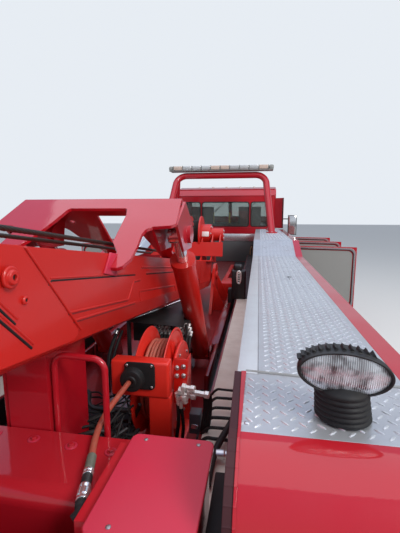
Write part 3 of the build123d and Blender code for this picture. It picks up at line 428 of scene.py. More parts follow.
def make_flute_glint_group():
    """Painted highlights on a lamp lens: bright and dim stripes on its upright flutes, blotches of reflection
    and bands over its three cups, with a dimmer lower row; the factor runs from bright to dim.
    """
    group, start, where = new_group("lens_flute_glints", {"Pitch": 0.0048, "Split": 1.7, "Centre": 0.92}, ["Fac"])
    split = add(group, "SeparateXYZ", {0: where})
    turns = calc(group, "DIVIDE", split["X"], start["Pitch"])
    steep = calc(group, "MULTIPLY", calc(group, "PINGPONG", turns, 0.5), 2.0)
    blur = add(group, "TexNoise", {"Vector": where, "Scale": 42.0, "Detail": 1.0})
    lower = calc(group, "SUBTRACT", start["Split"], split["Z"])
    lower = calc(group, "MULTIPLY", lower, 9.0, clamp=True)
    reflection_blotch = calc(group, "MULTIPLY", calc(group, "SUBTRACT", blur["Fac"], 0.5), 2.4, clamp=True)
    across = calc(group, "SUBTRACT", calc(group, "ABSOLUTE", split["X"]), start["Centre"])
    cup = calc(group, "MULTIPLY", calc(group, "PINGPONG", across, 0.031), 15.0)
    total = calc(group, "ADD", calc(group, "MULTIPLY", steep, 0.42), reflection_blotch)
    total = calc(group, "ADD", total, cup)
    return put_out(group, Fac=calc(group, "ADD", total, calc(group, "MULTIPLY", lower, 0.22), clamp=True))


GRAIN = make_grain_group()
DUST = make_dust_group()
STREAKS = make_streak_group()


# Finishes
def blank_material(name, **settings):
    """A material whose Principled shader starts from these socket values; names use _ for a space."""
    material = bpy.data.materials.new(name)
    material.use_nodes = True
    shader = material.node_tree.nodes["Principled BSDF"]
    for label, value in settings.items():
        shader.inputs[label.replace("_", " ")].default_value = value
    return material, material.node_tree, shader


def put_on(tree, shader, **values):
    for label, value in values.items():
        tree.links.new(value, shader.inputs[label.replace("_", " ")])


def mixed_colour(tree, mask, clean, dirty):
    return add(tree, "Mix", {"Factor": mask, "A": (*clean, 1), "B": (*dirty, 1)}, data_type="RGBA")["Result"]


def ranged(tree, value, low, high):
    return add(
        tree, "MapRange", {"Value": value, "From Min": 0.3, "From Max": 0.7, "To Min": low,
            "To Max": high})[0]


def worn(
        name, clean, dirty, rough=(0.3, 0.5), dust=0.4, patch=3.0, grain=(200.0, 0.0001), edge=0.003,
        wave=0.0, **settings):
    """Colour and roughness vary in dusty patches, over a fine grain; rough is (clean, dusty)."""
    material, tree, shader = blank_material(name, **settings)
    dirt = add(tree, "Group", {"Amount": dust, "Patch": patch}, node_tree=DUST)
    relief = add(
        tree, "Group", {"Scale": grain[0], "Depth": grain[1], "Edge": edge, "Wave": wave}, node_tree=GRAIN)
    put_on(
        tree, shader, Base_Color=mixed_colour(tree, dirt["Mask"], clean, dirty),
        Roughness=ranged(tree, dirt["Patches"], *rough), Normal=relief[0], Coat_Normal=relief[0])
    return material


def glass(name, tint, roughness=0.03):
    material, tree, shader = blank_material(
        name, Roughness=roughness, IOR=1.45, Base_Color=(*tint, 1), Transmission_Weight=0.92)
    put_on(tree, shader, Normal=add(tree, "Group", {"Scale": 6.0, "Depth": 0.0004}, node_tree=GRAIN)[0])
    return material


def brushed_aluminium():
    material, tree, shader = blank_material("brushed_aluminium", Metallic=0.92)
    streaks = add(tree, "Group", {"Stretch": (60.0, 1.0, 60.0), "Scale": 12.0}, node_tree=STREAKS)
    put_on(
        tree, shader, Base_Color=mixed_colour(tree, streaks["Fac"], (0.8, 0.81, 0.83), (0.66, 0.67, 0.69)),
        Roughness=ranged(tree, streaks["Fac"], 0.22, 0.4), Normal=streaks["Normal"])
    return material


def fluted_lens():
    # The lens's colour and a faint glow both follow the painted flute highlights; the glow is painted light,
    # not the lamp shining.
    material, tree, shader = blank_material(
        "fluted_lens", Metallic=0.3, Roughness=0.12, Coat_Weight=1.0, Coat_Roughness=0.02,
        Emission_Strength=0.06)
    flutes = add(
        tree, "Group", {"Pitch": FLUTE_PITCH, "Split": 1.722, "Centre": LENS_X},
        node_tree=make_flute_glint_group())
    glint_tone = mixed_colour(tree, flutes["Fac"], (0.84, 0.92, 1.0), (0.11, 0.1, 0.11))
    relief = add(tree, "Group", {"Scale": 80.0, "Depth": 0.0002}, node_tree=GRAIN)
    put_on(tree, shader, Base_Color=glint_tone, Emission_Color=glint_tone, Normal=relief[0])
    return material


# Work lamps
LAMP_X = 0.93
LAMP_Y = -4.37
LAMP_Z = 1.727
LAMP_HALF_W = 0.108
LAMP_HALF_H = 0.057
LENS_X = 0.9225
FLUTE_PITCH = 0.0048
LAMP_MATRIX = shift(LENS_X, LAMP_Y - 0.02, LAMP_Z) @ turned(5, "Y") @ turned(99, "X")

CLEAR_COAT = {"Coat_Weight": 1.0, "Coat_Roughness": 0.05}
RED = worn(
    "gloss_red_paint", (0.48, 0.007, 0.018), (0.4, 0.036, 0.045), (0.3, 0.45), 0.28, 2.2, (90.0, 0.00012),
    wave=0.007, Coat_Weight=1.0, Coat_Roughness=0.04, Specular_IOR_Level=0.2)
BOOM_RED = worn(
    "boom_red_paint", (0.58, 0.011, 0.006), (0.44, 0.033, 0.025), (0.34, 0.5), 0.28, 2.6, (90.0, 0.00015),
    wave=0.004, Coat_Weight=0.28, Coat_Roughness=0.12)
# A brighter copy of the red paint on the reel and its guide block: painted light where the boom shades them.
LIT_REEL_RED = worn(
    "reel_red_painted_light", (0.8, 0.03, 0.018), (0.6, 0.06, 0.05), (0.35, 0.5), 0.3, 6.0, (120.0, 0.00012),
    Coat_Weight=0.4, Coat_Roughness=0.1)
SATIN_RED = worn(
    "satin_red_paint", (0.58, 0.02, 0.06), (0.48, 0.05, 0.08), (0.38, 0.5), 0.3, 3.0, (300.0, 0.0001),
    Coat_Weight=0.3, Coat_Roughness=0.3)
# A darker copy of the red paint: painted shade, used on the deck floor, the well rails, the crossbar caps and
# the shadow lines under the boom's ridges.
SHADED_RED = worn(
    "shaded_red_paint", (0.2, 0.006, 0.01), (0.26, 0.05, 0.045), (0.25, 0.4), 0.4, 3.0, (90.0, 0.00012),
    Coat_Weight=0.8, Coat_Roughness=0.08)
# Near-black red for the inner fold of the rear quarter's wall: painted shade.
FOLD_SHADE = worn("fold_shade", (0.045, 0.004, 0.008), (0.1, 0.03, 0.03), (0.5, 0.7), 0.3, 6.0)
TREAD = worn(
    "tread_aluminium", (0.62, 0.65, 0.69), (0.47, 0.47, 0.49), (0.3, 0.46), 0.7, 4.0, (260.0, 0.00015),
    Metallic=0.6)
# The lugs are a brighter copy of the tread aluminium: painted highlight on their raised tops.
LIT_TREAD_LUG = worn(
    "tread_lug", (0.78, 0.82, 0.87), (0.4, 0.4, 0.42), (0.24, 0.36), 0.5, 22.0, (260.0, 0.0001), 0.0012,
    Metallic=0.5)
PLAIN_PLATE = worn(
    "plain_aluminium", (0.62, 0.65, 0.68), (0.47, 0.47, 0.48), (0.34, 0.5), 0.6, 4.0, (260.0, 0.0001),
    Metallic=0.45)
SEAM_GREY = worn("seam_grey", (0.3, 0.315, 0.33), (0.2, 0.2, 0.2), (0.5, 0.7), 0.6, 30.0, (200.0, 0.0003))
HOSE_GUARD = worn(
    "grey_hose_guard", (0.14, 0.15, 0.12), (0.2, 0.18, 0.14), (0.45, 0.6), 0.6, 40.0, (600.0, 0.0003))
ALUMINIUM = brushed_aluminium()
CHROME = worn(
    "bright_chrome", (0.86, 0.87, 0.88), (0.6, 0.6, 0.6), (0.05, 0.12), 0.15, 5.0, (30.0, 0.00008),
    Metallic=0.85)
BRIGHT_ZINC = worn(
    "bright_zinc", (0.86, 0.86, 0.84), (0.5, 0.49, 0.46), (0.18, 0.32), 0.4, 30.0, (300.0, 0.0001),
    Metallic=0.4)
STEEL = worn(
    "bare_steel", (0.42, 0.42, 0.43), (0.3, 0.27, 0.24), (0.3, 0.5), 0.5, 12.0, (400.0, 0.0002),
    Metallic=0.9)
ZINC = worn(
    "zinc_plate", (0.7, 0.7, 0.7), (0.5, 0.48, 0.44), (0.25, 0.4), 0.4, 30.0, (500.0, 0.0001), Metallic=0.9)
RUBBER = worn(
    "black_rubber", (0.013, 0.013, 0.014), (0.06, 0.055, 0.05), (0.5, 0.7), 0.5, 9.0, (500.0, 0.0003),
    Specular_IOR_Level=0.35)
TYRE_RUBBER = worn(
    "tyre_rubber", (0.018, 0.018, 0.019), (0.11, 0.1, 0.09), (0.6, 0.85), 0.7, 5.0, (300.0, 0.0005),
    Specular_IOR_Level=0.3)
PLASTIC = worn(
    "black_plastic", (0.016, 0.016, 0.017), (0.07, 0.065, 0.06), (0.35, 0.55), 0.4, 8.0, (600.0, 0.0002))
FRAME_BLACK = worn(
    "chassis_black", (0.02, 0.02, 0.021), (0.11, 0.095, 0.08), (0.4, 0.65), 0.7, 3.0, (250.0, 0.0003))
LEDGE_GREY = worn(
    "ledge_grey_paint", (0.8, 0.78, 0.74), (0.56, 0.5, 0.46), (0.4, 0.6), 0.6, 5.0, (180.0, 0.0002))
PANEL_GREY = worn("panel_grey", (0.3, 0.31, 0.3), (0.2, 0.19, 0.17), (0.4, 0.6), 0.6, 4.0, (200.0, 0.0002))
DARK_PANEL = worn(
    "dark_grey_panel", (0.075, 0.08, 0.085), (0.13, 0.12, 0.11), (0.35, 0.55), 0.6, 4.0, (200.0, 0.0002))
CABIN_TRIM = worn(
    "cabin_trim", (0.03, 0.03, 0.032), (0.08, 0.075, 0.07), (0.6, 0.75), 0.3, 6.0, (700.0, 0.0004))
HOSE_RED = worn(
    "red_hose_rubber", (0.42, 0.075, 0.045), (0.36, 0.17, 0.12), (0.4, 0.6), 0.6, 40.0, (900.0, 0.0003))
HOSE_WOUND = worn(
    "wound_hose_rubber", (0.52, 0.13, 0.09), (0.45, 0.25, 0.19), (0.4, 0.6), 0.6, 40.0, (900.0, 0.0003))
ROPE_STEEL = worn(
    "oiled_wire_rope", (0.045, 0.036, 0.03), (0.11, 0.085, 0.065), (0.35, 0.55), 0.6, 60.0, (900.0, 0.0002),
    Metallic=0.5)
BLUE_GREY = worn(
    "blue_grey_paint", (0.07, 0.085, 0.11), (0.12, 0.12, 0.12), (0.4, 0.55), 0.5, 10.0, (300.0, 0.0002))
TAN_CABLE = worn("tan_cable", (0.24, 0.15, 0.09), (0.16, 0.12, 0.09), (0.5, 0.65), 0.5, 20.0, (600.0, 0.0003))
YELLOW_WEB = worn(
    "yellow_webbing", (0.75, 0.55, 0.05), (0.5, 0.4, 0.1), (0.7, 0.85), 0.4, 30.0, (900.0, 0.0004))
WHITE_PLATE = worn("white_plate", (0.8, 0.8, 0.8), (0.6, 0.58, 0.55), (0.3, 0.45), 0.4, 20.0, (200.0, 0.0001))
AMBER = worn(
    "amber_lens", (0.8, 0.24, 0.02), (0.6, 0.22, 0.06), (0.12, 0.25), 0.4, 12.0, (50.0, 0.0003),
    **CLEAR_COAT)
TAIL_RED = worn(
    "tail_lamp_red", (0.45, 0.004, 0.006), (0.35, 0.03, 0.03), (0.12, 0.25), 0.4, 12.0, (50.0, 0.0003),
    **CLEAR_COAT)
BAR_LENS = worn(
    "light_bar_lens", (0.6, 0.61, 0.62), (0.42, 0.42, 0.41), (0.12, 0.25), 0.5, 9.0, (70.0, 0.0002),
    Metallic=0.35, **CLEAR_COAT)
BAR_AMBER = worn(
    "amber_bar_lens", (0.6, 0.47, 0.4), (0.46, 0.38, 0.34), (0.12, 0.25), 0.5, 9.0, (70.0, 0.0002),
    **CLEAR_COAT)
WINDOW = glass("window_glass", (0.55, 0.6, 0.58))
LENS = glass("lens_glass", (0.95, 0.96, 0.97), 0.02)
FLUTED_LENS = fluted_lens()

# The CAD nodes of each finish; a name that ends in _ stands for every node that starts so
NODE_FINISHES = {node: material for material, names in (
    (RED, "cab_shell tool_body_ deck_box hose_reels light_arch hood boom_yoke box_door_ cab_door_"),
    (BOOM_RED, "boom_pedestal boom_ winches lift_"), (SHADED_RED, "deck"), (TREAD, "tread_plates"),
    (FRAME_BLACK, "chassis_frame axles knuckle_"), (STEEL, "engine_block valve_bank"),
    (ALUMINIUM, "fuel_tanks front_rim_ rear_rims_"), (CHROME, "front_bumper grille lift_rod_ hose_coupler"),
    (WINDOW, "cab_glass cab_door_glass_"), (LENS, "light_bar"), (CABIN_TRIM, "cab_interior"),
    (PLASTIC, "lamp_cluster mirrors"), (HOSE_RED, "air_hose"), (TYRE_RUBBER, "front_tyre_ rear_tyres_"),
) for node in names.split()}


def finish_nodes():
    for name, node in NODES.items():
        fitting = [
            key for key in NODE_FINISHES if name == key or (key.endswith("_") and name.startswith(key))]
        node.data.materials.clear()
        node.data.materials.append(NODE_FINISHES[max(fitting, key=len)])


def cords(pieces, name, material, body="chassis"):
    """Finishes round cords, hoses and beads, which shade smooth all round."""
    finished(pieces, name, material, body, 60)


# Tread plate lugs
def lug(turn_deg):
    """One raised almond, tapering to its top."""
    piece = disc(6)
    piece.scale = (LUG_LENGTH / 2, LUG_WIDTH / 2, 1)
    piece.rotation_euler.z = radians(turn_deg)
    return drawn_up(applied(piece), [(LUG_HEIGHT, LUG_TAPER, LUG_HEIGHT)])


def lug_field(x0, x1, rear, front):
    """Rows of crossed lugs on a flat or sloping plate; rear and front are (y, z) of its edges."""
    run = Vector((0, front[0] - rear[0], front[1] - rear[1]))
    columns = int((x1 - x0) / LUG_PITCH)
    rows = int(run.length / LUG_PITCH)
    margin_x = (x1 - x0 - columns * LUG_PITCH) / 2
    margin_y = (run.length - rows * LUG_PITCH) / 2
    crossed = [
        moved(lug(turn), shift(LUG_PITCH * at, LUG_PITCH * at, 0)) for turn, at in ((45, 0.25), (-45, 0.75))]
    steps = {"use_relative_offset": False, "use_constant_offset": True}
    field = with_modifiers(
        joined(crossed), ("ARRAY", {**steps, "count": columns,
                "constant_offset_displace": (LUG_PITCH, 0, 0)}),
        ("ARRAY", {**steps, "count": rows, "constant_offset_displace": (0, LUG_PITCH, 0)}))
    slope = Matrix.Rotation(atan2(run.z, run.y), 4, "X")
    return moved(field, shift(x0 + margin_x, *rear), slope, shift(0, margin_y, 0))


def tread_lugs():
    stops = [(SEAM_Y + 0.012, LOW_Z), (RAMP_LOW_Y, LOW_Z), (RAMP_HIGH_Y, HIGH_Z), (PLATE_FRONT_Y, HIGH_Z)]
    fields = [lug_field(PLATE_INNER_X + 0.01, TREAD_X1, (PLATE_REAR_Y, LOW_Z), (SEAM_Y - 0.012, LOW_Z))]
    fields += [lug_field(TREAD_X0, TREAD_X1, rear, front) for rear, front in zip(stops, stops[1:])]
    pair(fields, "tread_lugs", LIT_TREAD_LUG)


def plate_trim():
    """A hole, a rivet, the smooth inner strip and the lapped seam of the top plates."""
    edge_x = TREAD_X0 - 0.001
    strip = slab(PLATE_INNER_X, SEAM_Y, LOW_Z, edge_x, RAMP_LOW_Y, LOW_Z + 0.0022, 0.0008)
    gap = slab(edge_x, SEAM_Y, LOW_Z, TREAD_X0 + 0.0006, RAMP_LOW_Y, LOW_Z + 0.0026)
    lap = tube([(x, SEAM_Y + y, LOW_Z + 0.001) for x, y in ((0.69, 0.016), (0.92, 0), (1.14, -0.02))], 0.005)
    finished(
        [turning([(0, 0.02), (0.0012, 0.019)], 20, (0.961, -2.449, LOW_Z - 0.0002)),
            slab(0.955, -2.56, LOW_Z - 0.0002, 0.959, -2.44, LOW_Z + 0.0004)], "plate_hole", RUBBER)
    finished(
        turning([(0, 0.008), (0.002, 0.007), (0.0035, 0.004)], 20, (0.702, -4.426, LOW_Z)), "plate_rivet",
        ZINC)
    pair(strip, "smooth_strip", PLAIN_PLATE)
    pair(lap, "plate_seam", SEAM_GREY)
    pair(gap, "strip_joint", STEEL)


def ledges():
    """The pale ledges inside the well, dark farther forward, and the black box that hangs over their end."""
    pair(slab(LEDGE_X0, -4.62, LEDGE_Z, LEDGE_X1, -1.6, 1.2016), "ledge_plate", LEDGE_GREY)
    pair(slab(LEDGE_X0, -1.6, LEDGE_Z, LEDGE_X1, 2.19, 1.206), "ledge_mat", PLASTIC)
    finished(
        slabs((0.455, -1.62, 1.19, 0.6, -1.5, 1.5, 0.012, 3),
            (0.475, -1.6, 1.49, 0.56, -1.52, 1.56, 0.02, 3), (0.415, -1.6, 1.06, 0.475, -1.5, 1.3, 0.008)),
        "hanging_box", PLASTIC)
    loop = [
        (0.511, 1.385), (0.511, 1.475), (0.522, 1.497), (0.539, 1.497), (0.55, 1.475), (0.55, 1.385),
        (0.5305, 1.365)]
    links = [slab(0.52, -1.63, 1.37 + k * 0.024, 0.541, -1.621, 1.382 + k * 0.024, 0.002) for k in range(5)]
    cords(
        [tube([(x, -1.628, z) for x, z in loop], 0.009, 6, 4, cyclic=True), *links], "box_clasp",
        BRIGHT_ZINC)


# Work lamps on their rubber boots
def boot():
    """A dome on five soft folds, leaning a little toward the truck's centre."""
    rings = [(0, 0.06), (0.003, 0.0645)]
    for fold in range(5):
        foot = 0.003 + fold * 0.0132
        swell = 0.0675 - 0.0007 * fold
        rings += [(foot + 0.004, swell), (foot + 0.009, swell - 0.0004), (foot + 0.0125, swell - 0.0066)]
    rings += [(0.073, 0.0635), (0.079, 0.061), (0.086, 0.052), (0.093, 0.036), (0.104, 0.03)]
    piece = with_modifiers(turning(rings), ("SUBSURF", {"levels": 1, "render_levels": 1}))
    lean = Matrix(((1, 0, -0.11, 0), (0, 1, -0.06, 0), (0, 0, 1, 0), (0, 0, 0, 1)))
    return moved(piece, shift(LAMP_X + 0.003, LAMP_Y + 0.014, LOW_Z), lean)


def lamp_fins():
    fins = []
    for index in range(12):
        angle = radians(-72 + index * 9.6)
        base = Vector((LAMP_HALF_W * 0.97 * sin(angle), LAMP_HALF_H * 0.97 * cos(angle)))
        out = Vector((sin(angle) / LAMP_HALF_W, cos(angle) / LAMP_HALF_H)).normalized()
        along = Vector((out.y, -out.x))
        outline = [
            base - along * 0.004 + out * 0.0095, base + along * 0.0015 + out * 0.006, base + along * 0.0055,
            base - along * 0.006]
        fins.append(plate(outline, 0.022, LAMP_MATRIX @ shift(0, 0, -0.024)))
    return fins


def lamp_lens():
    """A domed oval lens with fine upright flutes in two rows."""
    bpy.ops.object.select_all(action="DESELECT")
    bpy.ops.mesh.primitive_grid_add(x_subdivisions=240, y_subdivisions=14, size=2)
    lens = active()
    for vertex in lens.data.vertices:
        u, v = vertex.co.x, vertex.co.y
        reach = sqrt(max(0.0, 1 - u * u))
        x = u * (LAMP_HALF_W * 0.925)
        flute = 0.0007 * cos(2 * pi * x / FLUTE_PITCH) * reach
        row = 0.0022 * abs(sin(pi * v)) * reach
        dome = 0.006 + 0.012 * (1 - u * u) * (1 - 0.6 * v * v)
        vertex.co = (x, v * (LAMP_HALF_H * 0.91) * reach, dome + flute + row)
    return moved(lens, LAMP_MATRIX)


def work_lamp():
    housing = turning(
        [(-0.075, 0.42), (-0.065, 0.66), (-0.045, 0.86), (-0.012, 0.985), (0.0, 1.0), (0.009, 1.0),
            (0.012, 0.985), (0.012, 0.94), (0.006, 0.925), (0.002, 0.9)], 72)
    moved(housing, LAMP_MATRIX, Matrix.Diagonal((LAMP_HALF_W, LAMP_HALF_H, 1, 1)))
    neck = slab(
        LAMP_X - 0.028, LAMP_Y - 0.008, LOW_Z + 0.085, LAMP_X + 0.024, LAMP_Y + 0.04, LAMP_Z - 0.02, 0.01)
    right = pair([housing, neck, *lamp_fins()], "lamp_housing", PLASTIC)
    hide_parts("lamp_cluster")
    pair(lamp_lens(), "lamp_lens", FLUTED_LENS)
    pair(boot(), "lamp_boot", RUBBER)


# Air hose, from its guide over the deck box to its coupler
HOSE_POINTS = [
    (0.238, -3.99, 1.446), (0.238, -4.045, 1.446), (0.232, -4.102, 1.438), (0.226, -4.16, 1.429),
    (0.227, -4.218, 1.419), (0.237, -4.275, 1.413), (0.254, -4.33, 1.412), (0.275, -4.383, 1.413),
    (0.292, -4.435, 1.413)]
HOSE_DIAMETER = 0.02


def ribbed(foot, pitch, count, marks):
    """Rings of equal ribs along a turning; marks are the (height, radius) points of one rib."""
    return [(foot + k * pitch + height, radius) for k in range(count) for height, radius in marks]


def coupler():
    """What the hose ends in: ribbed guard, two bands, ribbed ferrule, knurled sleeve and a black elbow."""
    end = Vector(HOSE_POINTS[-1]) + Vector((0, 0, 0.003))
    run = (end - Vector(HOSE_POINTS[-2])).normalized()
    run.z = 0
    guard = [
        (-0.07, 0.0112), *ribbed(-0.07, 0.0062, 9, ((0.0008, 0.0132), (0.004, 0.0132), (0.005, 0.012))),
        (-0.0125, 0.0112)]
    bands = [
        (-0.013, 0.0125), (-0.012, 0.0142), (-0.005, 0.0142), (-0.004, 0.0125), (-0.001, 0.0125),
        (0.0, 0.0142), (0.006, 0.0142), (0.007, 0.0125)]
    ferrule = [
        (0.007, 0.012), *ribbed(0.007, 0.0056, 6, ((0.001, 0.0136), (0.0036, 0.0136), (0.0046, 0.0122)))]
    sleeve = [
        (0.041, 0.0125), (0.042, 0.015), (0.05, 0.015), (0.052, 0.0136), (0.055, 0.0136), (0.057, 0.0165),
        (0.076, 0.0165), (0.078, 0.0148), (0.081, 0.0148), (0.083, 0.016), (0.09, 0.016), (0.091, 0.0135)]
    mouth = [(0.09, 0.0135), (0.093, 0.0145), (0.104, 0.0145), (0.11, 0.013), (0.114, 0.0095)]
    pieces = [
        finished(turning(rings, sides, end, run), name, material)
        for name, rings, sides, material in (("hose_guard", guard, 28, HOSE_GUARD),
            ("hose_bands", bands, 28, CHROME), ("hose_ferrule", ferrule, 28, PLASTIC),
            ("coupler_sleeve", sleeve, 22, CHROME), ("coupler_mouth", mouth, 28, RUBBER))]
    start = end + run * 0.106
    tail = [
        start, start + run * 0.012, start + run * 0.022 + Vector((-0.006, 0, -0.003)),
        start + run * 0.029 + Vector((-0.014, 0, -0.007))]
    pieces.append(finished(tube(tail, 0.0115, 6, 4), "coupler_tail", RUBBER))
    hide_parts("hose_coupler")
    return pieces


def air_hose():
    hose = smooth_line(HOSE_POINTS, HOSE_DIAMETER / 2, resolution=12, sides=8)
    hose.name = "air_hose_line"
    hose.data.materials.append(HOSE_RED)
    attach(hose, "chassis")
    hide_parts("air_hose")
    end_pieces = coupler()


# Boom: its own frame has X across, Y toward the truck's front and Z up from the axis
BOOM_PLACE = shift(0, -1.3, 1.389) @ turned(-8.53, "X")
BOOM_HALF = 0.215
BOOM_TOP = 0.15
ROPE_Z = BOOM_TOP + 0.047
PRESSED_LINES = [
    [(3.111, -0.02), (2.64, -0.026), (2.578, 0.044), (2.5, 0.047)], [(3.058, -0.046), (2.56, -0.046)],
    [(2.494, -0.046), (2.513, -0.002), (1.869, -0.011), (1.83, -0.046)],
    [(2.494, 0.102), (1.906, 0.1), (1.86, 0.118), (1.4, 0.118)],
    [(1.76, -0.046), (1.78, 0.002), (0.95, -0.006), (0.9, -0.046)]]


def on_boom(pieces):
    return moved(joined(pieces), BOOM_PLACE)


def side_lines(name, material, x, radius, lines):
    """Raised or sunk lines on both sides of the boom, through (distance along, height) points."""
    pair(on_boom([seam([(x, -s, h) for s, h in line], radius) for line in lines]), name, material, "boom")


def boom_ridges():
    """Pressed panels, slots and beads on the boom's side; each ridge has its shadow line below it."""
    x = BOOM_HALF
    below = [[(s, h - 0.0055) for s, h in line] for line in PRESSED_LINES]
    side_lines("boom_creases", BOOM_RED, x - 0.001, 0.0042, PRESSED_LINES)
    side_lines("boom_crease_shadows", SHADED_RED, x - 0.0014, 0.0024, below)
    side_lines(
        "boom_slots", RUBBER, x - 0.0012, 0.003,
        [[(3.188, 0.052), (3.166, 0.07), (2.567, 0.069)], [(2.42, 0.069), (1.75, 0.069)]])
    side_lines(
        "boom_slot_lips", BOOM_RED, x - 0.0016, 0.0034,
        [[(3.172, 0.077), (2.567, 0.075)], [(2.42, 0.075), (1.75, 0.075)]])
    side_lines(
        "collar_weld", BOOM_RED, x + 0.001, 0.0055, [[(3.302, 0.148), (3.05, -0.076), (3.077, -0.097)]])
    side_lines("collar_shadow", SHADED_RED, x - 0.001, 0.0028, [[(3.289, 0.146), (3.037, -0.08)]])


def collar_fittings():
    x = BOOM_HALF + 0.016
    centre = (x + 0.007, -3.345, 0.085)
    small = (x, -3.291, 0.035)
    ring = turning(
        [(0.0, 0.0225), (0.004, 0.0225), (0.006, 0.0205), (0.006, 0.0155), (0.011, 0.0145), (0.0125, 0.013),
            (0.0125, 0.0062), (0.006, 0.006)], 40, centre, RIGHT)
    eye = turning([(0.0, 0.0062), (0.0075, 0.0062), (0.0085, 0.004)], 20, centre, RIGHT)
    nub = turning(
        [(0.0, 0.0095), (0.005, 0.0095), (0.0075, 0.0075), (0.0075, 0.0045), (0.004, 0.004)], 24, small,
        RIGHT)
    hole = turning([(0.0, 0.0043), (0.0055, 0.0043), (0.006, 0.002)], 16, small, RIGHT)
    pair(on_boom([ring, nub]), "collar_boss", BOOM_RED, "boom")
    pair(on_boom([eye, hole]), "collar_holes", RUBBER, "boom")
    side_lines(
        "collar_slots", RUBBER, x - 0.0004, 0.0034,
        [[(3.385, 0.042), (3.318, -0.012)], [(3.385, 0.02), (3.313, -0.035), (3.262, -0.074)]])
    side_lines(
        "collar_rims", BOOM_RED, x - 0.001, 0.0036,
        [[(3.38, 0.052), (3.31, -0.002)], [(3.38, 0.029), (3.306, -0.027), (3.255, -0.066)],
            [(3.29, 0.148), (3.042, -0.072)]])
    toe = [(-2.876, 0.082), (-2.775, 0.07), (-2.775, 0.15), (-2.831, 0.153)]
    pair(on_boom([upright_plate(BOOM_HALF + 0.0005, toe, 0.007, 0.001)]), "yoke_toe", SATIN_RED, "boom")


def wire_rope(points, radius, name, body):
    """A laid wire rope: six strands wound round a line in the boom's frame."""
    strands = []
    run = [Vector(point) for point in points]
    total = sum((b - a).length for a, b in zip(run, run[1:]))
    turns = total / (radius * 14)
    steps = int(turns * 8) + 2
    for strand in range(6):
        path = []
        for step in range(steps):
            distance = total * step / (steps - 1)
            for a, b in zip(run, run[1:]):
                if distance <= (b - a).length or b == run[-1]:
                    break
                distance -= (b - a).length
            centre = a + (b - a).normalized() * min(distance, (b - a).length)
            angle = 2 * pi * (turns * step / (steps - 1) + strand / 6)
            path.append(centre + Vector((cos(angle), 0, sin(angle))) * radius * 0.6)
        strands.append(tube(path, radius * 0.42, 1, 1))
    cords(on_boom(strands), name, ROPE_STEEL, body)


def winch_ropes():
    """From each drum along the boom's top to the sheaves in its head, in two overlapping runs."""
    for side, name in ((1, "right"), (-1, "left")):
        x = side * 0.1
        wire_rope(
            [(side * 0.07, -0.36, BOOM_TOP + 0.376), (x, -1.35, ROPE_Z), (x, -3.52, ROPE_Z)], 0.0085,
            "rope_inner_" + name, "boom")
        wire_rope(
            [(x, -1.45, ROPE_Z), (x, -3.52, ROPE_Z), (x, -4.2, BOOM_TOP + 0.03),
                (x, -4.28, BOOM_TOP + 0.004)], 0.0068, "rope_outer_" + name, "boom_stage")


# Deck box at the rear, and its cover
def deck_box_fittings():
    spots = [
        (x, y, BOX_TOP_Z) for x, y in ((0.046, -4.306), (0.177, -4.317), (0.306, -4.323), (-0.09, -4.3),
            (-0.22, -4.295))]
    finished(bolts(spots, UP, 0.017, 0.008, 0.0125), "box_bolts", RED)
    finished(
        turnings([(0, 0.0185), (0.001, 0.018), (0.0022, 0.0145)], 24, [(x, y, 1.4003) for x, y, z in spots]),
        "box_bolt_sealant", SATIN_RED)
    screws = [
        (side * x, y, COVER_TOP_Z) for x, y in ((0.419, -4.334), (0.569, -4.334), (0.43, -4.615),
            (0.558, -4.615)) for side in (1, -1)]
    finished(
        turnings([(0, 0.0062), (0.0018, 0.0058), (0.003, 0.004), (0.0032, 0.0016)], 18, screws),
        "cover_screws", STEEL)
    pair(
        plate(corners(0.3775, 0.6095, -4.6385, -4.3115, 0.021), 0.0008, shift(0, 0, COVER_TOP_Z)),
        "cover_skin", SATIN_RED)
    # A black strip fills the gap between the cover and the box wall: painted shade for the dark under the gap.
    pair(slab(0.6125, -4.655, 1.2, 0.6585, -4.3, 1.36, 0.004), "cover_gap_shade", RUBBER)


# Hose guide, reel and their fittings
REEL_Y = -3.655
REEL_Z = 1.303
REEL_R = 0.245
COVER_Y = REEL_Y + 0.01
COVER_Z = REEL_Z - 0.025


def guide_fittings():
    rubber = plate(
        corners(-0.062, 0.062, -0.055, 0.055, 0.018), 0.009, shift(0.272, -3.9605, 1.462) @ turned(90, "X"),
        0.0025)
    boss = turning(
        [(0, 0.048), (0.012, 0.048), (0.016, 0.046), (0.03, 0.0455), (0.036, 0.042), (0.038, 0.036),
            (0.038, 0.024), (0.042, 0.02), (0.042, 0.0125), (0.036, 0.011)], 40, (0.245, -3.9595, 1.45),
        REAR)
    finished([rubber, boss], "guide_rubber", RUBBER)
    screws = [(x, -3.9695, z) for x, z in ((0.222, 1.505), (0.322, 1.508), (0.224, 1.418), (0.321, 1.42))]
    finished(
        turnings([(0, 0.0055), (0.002, 0.0053), (0.0035, 0.0038), (0.0037, 0.0018)], 16, screws, REAR),
        "guide_screws", ZINC)


def reel_flange(x, direction):
    """A pressed flange with a rolled rim, a dished middle and a bolted hub."""
    rings = [
        (0.0, 0.03), (0.002, REEL_R - 0.006), (0.006, REEL_R), (0.01, REEL_R - 0.002), (0.01, REEL_R - 0.01),
        (0.0055, REEL_R - 0.016), (0.0055, REEL_R * 0.62), (0.011, REEL_R * 0.56), (0.011, 0.075),
        (0.02, 0.06), (0.02, 0.03)]
    return turning(rings, 72, (x, REEL_Y, REEL_Z), (direction, 0, 0))


